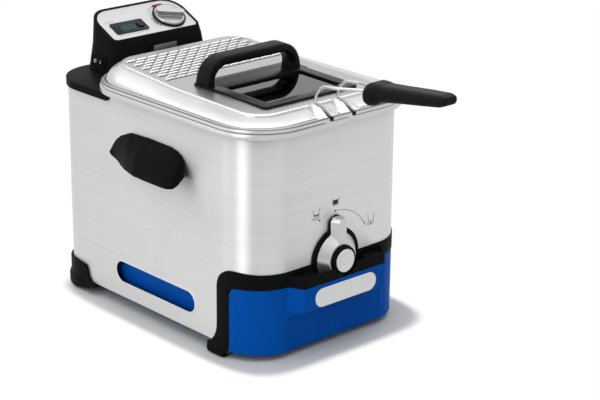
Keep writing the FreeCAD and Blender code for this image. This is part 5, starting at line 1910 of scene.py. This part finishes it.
    def louvres(self) -> None:
        """Rows of pressed louvres behind the crease, with flat ground at the ends of the short rows."""
        tile = self.louvre_tile()
        mesh = bpy.data.meshes.new("louvre_field")
        mesh.from_pydata([point * MM for point in tile.points], [], tile.faces)
        obj = linked("louvre_field", mesh)
        half, front, rear = self.louvre_area()
        middle, deep = (front + rear) / 2, self.pitch_along / 2
        run_tree(obj, louvre_tree(), {
            "Long row": self.long_row, "Long rows": self.long_rows, "Pitch across": self.pitch_across * MM,
            "Pitch along": self.pitch_along * MM, "Slope": math.atan(self.rear_slope),
            "Middle": row((0, middle, self.height(middle))), "Material": LOUVRE_HIGHLIGHT_STEEL.material()})
        with edited(obj.data) as work:
            for number in range(self.long_rows - 1):
                y = self.rows_from + self.pitch_along * (2 * number + 1)
                for way, _ in SIDES:
                    inner, far = way * (half - self.pitch_across / 2), way * half
                    places = ((inner, y - deep), (far, y - deep), (far, y + deep), (inner, y + deep))
                    corners = [work.verts.new(row((x, depth, self.height(depth)))) for x, depth in places]
                    work.faces.new(corners[::way])
            bmesh.ops.remove_doubles(work, verts=work.verts, dist=SAME_LOUVRE_POINT)
            bmesh.ops.recalc_face_normals(work, faces=work.faces)
            turn_outwards(work, row((0, 50, 0)))
        # The louvres get the lighter copy of the lid steel, a painted highlight; the ground between them
        # gets the darker top steel, painted shade.
        self.add(obj, LOUVRE_HIGHLIGHT_STEEL, finishing=Finishing(sharp=40.0))
        self.dress(obj, PLATEAU_SHADED_STEEL, self.on_ground)

    def on_ground(self, face: Face) -> bool:
        """Whether a face of the louvre field is flat ground between the louvres."""
        _, y, z = drawn(face.center)
        return abs(z - self.height(y)) < self.ground_near

    def hoods(self) -> None:
        """Two half domes on the front flank, slit so that the lid lifts off the handle wires."""
        for way, side in SIDES:
            skin = Skin()
            for flank in (-1, 1):
                rows = []
                for y, wide, ridge, base in self.hood_sections:
                    lip = math.acos(self.slit / wide)
                    line = []
                    for step in range(self.hood_steps + 1):
                        turn = lip * step / self.hood_steps
                        line.append((way * self.wire_x + flank * wide * math.cos(turn), y,
                                     base + (ridge - base) * math.sin(turn)))
                    x, _, z = line[-1]
                    line.append((x, y, max(base, z - self.lip)))
                    rows.append(line)
                skin.loft(rows, closed=False)
            obj = skin.to_object("wire_hood_" + side, heart=(way * self.wire_x, -188, 285))
            self.add(obj, LID_STEEL, finishing=Finishing(wall=0.7, even=False, sharp=50.0))
            # The slit lips get the bright matt copy of the lid steel, painted light.
            self.dress(obj, LIP_LIGHT_STEEL, self.on_lip)

    def on_lip(self, face: Face) -> bool:
        """Whether a face of a hood lies on the lip of its slit."""
        return abs(abs(drawn(face.center)[0]) - self.wire_x) < self.slit + 0.1

    def tilted(self, x: float, y: float, z: float) -> Spot:
        """Lays a point on the front slope of the lid.

        Args:
            x, y, z: the point, drawn level with the front fold.

        Returns:
            The point on the slope.
        """
        lean = math.atan(self.front_slope)
        dy, dz = y - self.plateau.front, z - self.front_z
        return (x, self.plateau.front + dy * math.cos(lean) - dz * math.sin(lean),
                self.front_z + dy * math.sin(lean) + dz * math.cos(lean))

    def handle(self) -> None:
        """Arched handle with a crowned section, its legs wider at the foot."""
        low, bar, radius = self.front_z + self.handle_foot, self.handle_bar / 2, self.handle_r
        reach, top = self.handle_half - bar, self.handle_top - bar
        line = [(-reach, low, 90.0), (-reach, low + 3.0, 90.0)]
        for step, (x, z) in enumerate(arc((-reach + radius, top - radius), radius, 180, 90, 14)):
            line.append((x, z, 90.0 - 90.0 * step / 14))
        line += [(-x, z, -way) for x, z, way in reversed(line)]
        middle, deep = sum(self.handle_y) / 2, (self.handle_y[1] - self.handle_y[0]) / 2
        section = rounded_loop(-deep, deep, -bar, bar, self.handle_edge_r, 5)
        deeper, thicker = self.handle_flare
        rows = []
        for x, z, way in line:
            flare = 1.0 - smooth_step(z, low, low + self.flare_run)
            across = Vector((-math.sin(math.radians(way)), math.cos(math.radians(way))))
            ring = []
            for v, n in section:
                crown = self.handle_crown * (1 - (v / deep) ** 2) if n > 0 else 0.0
                out = across * ((n + crown - self.handle_crown) * (1.0 + thicker * flare))
                ring.append(self.tilted(x + out.x, middle + v * (1.0 + deeper * flare), z + out.y))
            rows.append(ring)
        self.lofted("lid_handle_arch", rows, GRIP, "lid_handle")


# Control head

@dataclass
class ControlHead(Assembly):
    """Clip-on head with its panel, display, lamp, element and the parts inside."""

    body: str = "head"
    panel_y: float = 142.0
    panel_z: float = 329.0
    tilt: float = 25.0
    print_above: float = 0.06
    knob: Flat = (38.7, 27.6)
    scale_r: float = 27.5
    scale_turns: Flat = (120.0, 210.0)
    scale_steps: int = 8
    line_x: Flat = (-58.0, -5.0)
    line_v: float = 8.0
    sign_v: float = 37.5
    display: tuple[float, float, float, float] = (-46.0, -21.0, 15.0, 28.0)
    display_above: Flat = (1.03, 1.06)
    digit: Flat = (3.6, 7.0)
    digit_starts: tuple[float, ...] = (3.0, 8.0, 14.4, 19.4)
    colon: Flat = (13.0, 1.6)
    element: Wire = Wire(3.5, 13.0, 18)
    element_path: tuple[Spot, ...] = ((-30, 97.5, 282), (-30, 97.5, 152), (-30, 68, 152), (-88, 68, 152),
                                      (-88, -150, 152), (-35, -150, 152), (-35, 30, 152))
    sensor: Wire = Wire(2.0, 10.0)
    sensor_path: tuple[Spot, ...] = ((0, 99, 284), (0, 99, 150), (0, 42, 150))

    def build(self) -> None:
        """Makes the head's pieces."""
        self.eased("head_housing", BLACK, Finishing(bevel=1.3, bevel_steps=4), flat_angle=0.3)
        # temp_knob_ring is a glossy black ring round the temperature knob that stands in for the shaded gap
        # there: painted shade.
        for node, finish, bevel in (
                ("head_panel", PANEL, 0.4), ("display_window", SCREEN, 0.35), ("lcd_display", TEAL, 0.2),
                ("indicator_lamp", RED, 0.5), ("temp_knob_ring", GLOSS, 0.5), ("rocker_frame", BLACK, 0.6),
                ("cord_gland", RUBBER, 0.6), ("basket_hook", HOOK_STEEL, 0.4), ("head_base", BLACK, 0.6),
                ("element_bracket", INSIDE_STEEL, 0.4)):
            self.eased(node, finish, Finishing(bevel=bevel))
        path = [*self.element_path, *[(-x, y, z) for x, y, z in reversed(self.element_path)]]
        self.wired("element_loop", [path], self.element, ELEMENT, "heating_element")
        self.wired("sensor_rod", [self.sensor_path], self.sensor, SCREW_STEEL, "sensor_tube")
        self.panel_marks()
        self.digits()
        self.paint(SCREW_STEEL, "head_screws")
        self.paint(THERMOSTAT, "thermostat")
        self.paint(BOARD, "control_board")

    def printed(self, name: str, shapes: Sequence[Shape], above: float, finish: Finish) -> None:
        """Prints shapes on the panel or on what stands above it.

        Args:
            name: piece name.
            shapes: outlines in coordinates of the panel.
            above: height above the panel.
            finish: finish of the print.
        """
        lean = math.radians(self.tilt)

        def on_panel(x: float, v: float) -> Vector:
            """Point of the frame for a place on the panel."""
            return row((x, self.panel_y + v * math.cos(lean) - above * math.sin(lean),
                        self.panel_z + v * math.sin(lean) + above * math.cos(lean)))

        self.add(flat_marks(name, shapes, on_panel), finish)

    def panel_marks(self) -> None:
        """Scale dots round the temperature knob, a thin line under the display and three dots above it."""
        scale = arc(self.knob, self.scale_r, *self.scale_turns, self.scale_steps)
        shapes = [dot(x, v, 0.75 + 0.08 * step) for step, (x, v) in enumerate(scale)]
        shapes += stroke([(x, self.line_v) for x in self.line_x], 0.4)
        shapes += [dot(self.line_x[0] + 5 * step, self.sign_v, 0.8) for step in range(3)]
        self.printed("panel_marks", shapes, self.print_above, FADED_PRINT)

    def digits(self) -> None:
        """Lit field of the display and the segments of a plain clock reading on it."""
        x0, x1, v0, v1 = self.display
        width, height = self.digit
        centre = (v0 + v1) / 2
        low, high = centre - height / 2, centre + height / 2
        shapes: list[Shape] = []
        for start in self.digit_starts:
            left, right = x0 + start, x0 + start + width
            shapes += stroke([(left, low), (right, low), (right, high), (left, high), (left, low)], 0.7)
        colon_x, colon_v = self.colon
        shapes += [dot(x0 + colon_x, centre + way * colon_v, 0.45) for way, _ in SIDES]
        field_above, digits_above = self.display_above
        self.printed("display_face", [[(x0, v0), (x1, v0), (x1, v1), (x0, v1)]], field_above, TEAL)
        self.printed("display_digits", shapes, digits_above, DIGITS)


@dataclass
class TempControl(Assembly):
    """Temperature knob and its shaft."""

    body: str = "temp_control"

    def build(self) -> None:
        """Makes the knob."""
        self.eased("temp_knob", KNOB_SILVER, Finishing(voxel=0.4, soften=4), flat_angle=0.3)
        self.paint(SCREW_STEEL, "temp_shaft")


@dataclass
class TimerButton(Assembly):
    """Button beside the display."""

    body: str = "timer_button"

    def build(self) -> None:
        """Makes the button."""
        self.eased("timer_button", GLOSS, Finishing(bevel=0.5))


@dataclass
class Rocker(Assembly):
    """Rocker of the mains switch."""

    body: str = "rocker"
    place: Spot = (-79.264, 166.0, 299.0)
    lean: float = 9.27
    face_half: float = 10.4
    face_out: float = 1.68
    face_hollow: float = 1.2
    ring_u: float = 5.6
    ring_r: float = 1.9
    bar_u: float = -5.4
    bar_half: float = 2.2

    def build(self) -> None:
        """Makes the rocker and its two printed signs."""
        self.eased("rocker_switch", BLACK, Finishing(bevel=0.6))
        shapes = stroke(arc((self.ring_u, 0.0), self.ring_r, 0, 360, 20), 0.75)
        shapes += stroke([(self.bar_u, -self.bar_half), (self.bar_u, self.bar_half)], 0.85)
        self.add(flat_marks("rocker_signs", shapes, self.on_face), WHITE_PRINT)

    def on_face(self, u: float, v: float) -> Vector:
        """Point of the frame on the hollow face of the rocker.

        Args:
            u: distance towards the rear.
            v: distance up.

        Returns:
            The point.
        """
        out = -self.face_out - self.face_hollow * abs(u) / self.face_half
        lean = math.radians(self.lean)
        x, y, z = self.place
        return row((x + out * math.cos(lean) + v * math.sin(lean), y + u,
                    z - out * math.sin(lean) + v * math.cos(lean)))


# Studio

@dataclass
class Studio:
    """Floor, lamps, surroundings and camera."""

    eye: Spot = (-1455.6, -1710.3, 933.7)
    azimuth: float = -42.79
    elevation: float = 19.62
    roll: float = 0.61
    lens: float = 109.71
    sensor: float = 36.0
    clip: Flat = (0.05, 60.0)
    ambient: float = 0.50
    floor_half: float = 9.0
    # Grey of the floor round the object: painted shadow on top of the lamps' real shadow
    shadow_floor_grey: float = 0.60
    shade_centre: Spot = (0.0, 0.066, 0.0)
    shade_reach: Spot = (0.150, 0.205, 1.0)
    shade_power: float = 6.0
    clear_from: float = 1.0
    clear_to: float = 1.09
    card_grey: float = 0.02

    def build(self) -> None:
        """Makes the studio."""
        self.floor()
        self.world()
        self.lamp("top_softbox", (0.1, 0.2, 2.4), (0.0, 0.0, 0.1), (4.0, 4.0), 58.0)
        self.lamp("left_softbox", (-2.4, -0.50, 1.0), (0.0, 0.0, 0.15), (0.75, 2.0), 17.0)
        self.lamp("side_fill", (-0.80, 0.44, 0.55), (-0.1, 0.1, 0.2), (0.5, 1.2), 0.9)
        self.card("camera_side_card", (-2.10, -1.70, 1.0), (0.36, 2.2))
        self.camera()
        bpy.context.scene.view_settings.view_transform = "Standard"

    def sheet(self, name: str, wide: float, high: float) -> Piece:
        """Flat rectangle about the origin.

        Args:
            name: object name.
            wide, high: half its width and height, in metres.

        Returns:
            The object.
        """
        mesh = bpy.data.meshes.new(name)
        corners = [(-wide, -high, 0), (wide, -high, 0), (wide, high, 0), (-wide, high, 0)]
        mesh.from_pydata(corners, [], [(0, 1, 2, 3)])
        return linked(name, mesh)

    def seen(self, tree: Tree) -> Socket:
        """Value for rays from the camera, a reflection or through glass.

        Args:
            tree: node tree it goes into.

        Returns:
            A socket that is one for such rays.
        """
        path = tree.nodes.new("ShaderNodeLightPath")
        both = add_math(tree, "MAXIMUM", path.outputs["Is Camera Ray"], path.outputs["Is Glossy Ray"])
        return add_math(tree, "MAXIMUM", both, path.outputs["Is Transmission Ray"])

    def floor(self) -> None:
        """Floor that keeps the object's shadow and turns plain white further out; round the object it is a
        darker grey, painted shadow that deepens the real one.
        """
        obj = self.sheet("floor", self.floor_half, self.floor_half)
        made = bpy.data.materials.new("pale_floor")
        made.use_nodes = True
        tree = made.node_tree
        tree.nodes.clear()
        coords = tree.nodes.new("ShaderNodeTexCoord")
        spread = tree.nodes.new("ShaderNodeMapping")
        spread.vector_type = "TEXTURE"
        feed(tree, spread, {"Vector": coords.outputs["Object"], "Location": self.shade_centre,
                            "Scale": self.shade_reach})
        parts = add_node(tree, "ShaderNodeSeparateXYZ", {"Vector": spread.outputs["Vector"]})
        powers = []
        for axis in ("X", "Y"):
            reach = add_math(tree, "ABSOLUTE", parts.outputs[axis], 0.0)
            powers.append(add_math(tree, "POWER", reach, self.shade_power))
        length = add_math(tree, "POWER", add_math(tree, "ADD", *powers), 1.0 / self.shade_power)
        span = tree.nodes.new("ShaderNodeMapRange")
        span.interpolation_type = "SMOOTHSTEP"
        feed(tree, span, {"Value": length, "From Min": self.clear_from, "From Max": self.clear_to})
        share = add_math(tree, "MULTIPLY", span.outputs["Result"], self.seen(tree))
        grey = (self.shadow_floor_grey, self.shadow_floor_grey, self.shadow_floor_grey, 1.0)
        matt = add_node(tree, "ShaderNodeBsdfDiffuse", {"Color": grey})
        white = tree.nodes.new("ShaderNodeEmission")
        mix = add_node(tree, "ShaderNodeMixShader", {
            "Fac": share, 1: matt.outputs["BSDF"], 2: white.outputs["Emission"]})
        add_node(tree, "ShaderNodeOutputMaterial", {"Surface": mix.outputs["Shader"]})
        obj.data.materials.append(made)

    def world(self) -> None:
        """White surroundings for what is seen, softer light for the rest."""
        world = bpy.data.worlds.new("studio")
        bpy.context.scene.world = world
        world.use_nodes = True
        tree = world.node_tree
        mix = tree.nodes.new("ShaderNodeMix")
        mix.data_type = "FLOAT"
        feed(tree, mix, {"Factor": self.seen(tree), "A": self.ambient, "B": 1.0})
        feed(tree, tree.nodes["Background"], {
            "Color": (1.0, 1.0, 1.0, 1.0), "Strength": mix.outputs["Result"]})

    def lamp(self, name: str, place: Spot, target: Spot, size: Flat, power: float) -> None:
        """Soft rectangular lamp.

        Args:
            name: lamp name.
            place: where it stands, in metres of the frame.
            target: where it points.
            size: width and height in metres.
            power: watts.
        """
        light = bpy.data.lights.new(name, "AREA")
        light.shape = "RECTANGLE"
        light.size, light.size_y = size
        light.energy = power
        way = Vector(target) - Vector(place)
        turn = way.to_track_quat("-Z", "Y").to_matrix().to_4x4()
        linked(name, light).matrix_world = Matrix.Translation(place) @ turn

    def card(self, name: str, place: Spot, size: Flat) -> None:
        """Dark card that faces the object and shows only in reflections, not to the camera.

        Args:
            name: card name.
            place: its middle, in metres of the frame.
            size: width and height in metres.
        """
        obj = self.sheet(name, size[0] / 2, size[1] / 2)
        turn = Vector((place[0], place[1], 0.0)).to_track_quat("Z", "Y").to_matrix().to_4x4()
        obj.matrix_world = Matrix.Translation(place) @ turn
        made = bpy.data.materials.new(name)
        made.use_nodes = True
        shader = made.node_tree.nodes["Principled BSDF"]
        shader.inputs["Base Color"].default_value = (self.card_grey, self.card_grey, self.card_grey, 1.0)
        obj.data.materials.append(made)
        obj.visible_camera = False

    def camera(self) -> None:
        """Camera at the photograph's viewing angle."""
        turn = Matrix.Identity(4)
        for angle, axis in ((self.azimuth, "Z"), (90.0 - self.elevation, "X"), (self.roll, "Z")):
            turn = turn @ Matrix.Rotation(math.radians(angle), 4, axis)
        data = bpy.data.cameras.new("camera")
        data.sensor_width = self.sensor
        data.lens = self.lens
        data.clip_start, data.clip_end = self.clip
        obj = linked("camera", data)
        obj.matrix_world = Matrix.Translation(row(self.eye)) @ turn
        bpy.context.scene.camera = obj


def main() -> None:
    """Builds the studio and then the assemblies in order."""
    logging.basicConfig(level=logging.INFO, format="%(message)s")
    Studio().build()
    for assembly in (Housing(), OilBox(), DrainKnob(), Bowl(), Basket(), ControlHead(), TempControl(),
                     TimerButton(), Rocker(), Lid()):
        assembly.build()
        log.info("built %s", type(assembly).__name__)


if __name__ == "__main__":
    main()
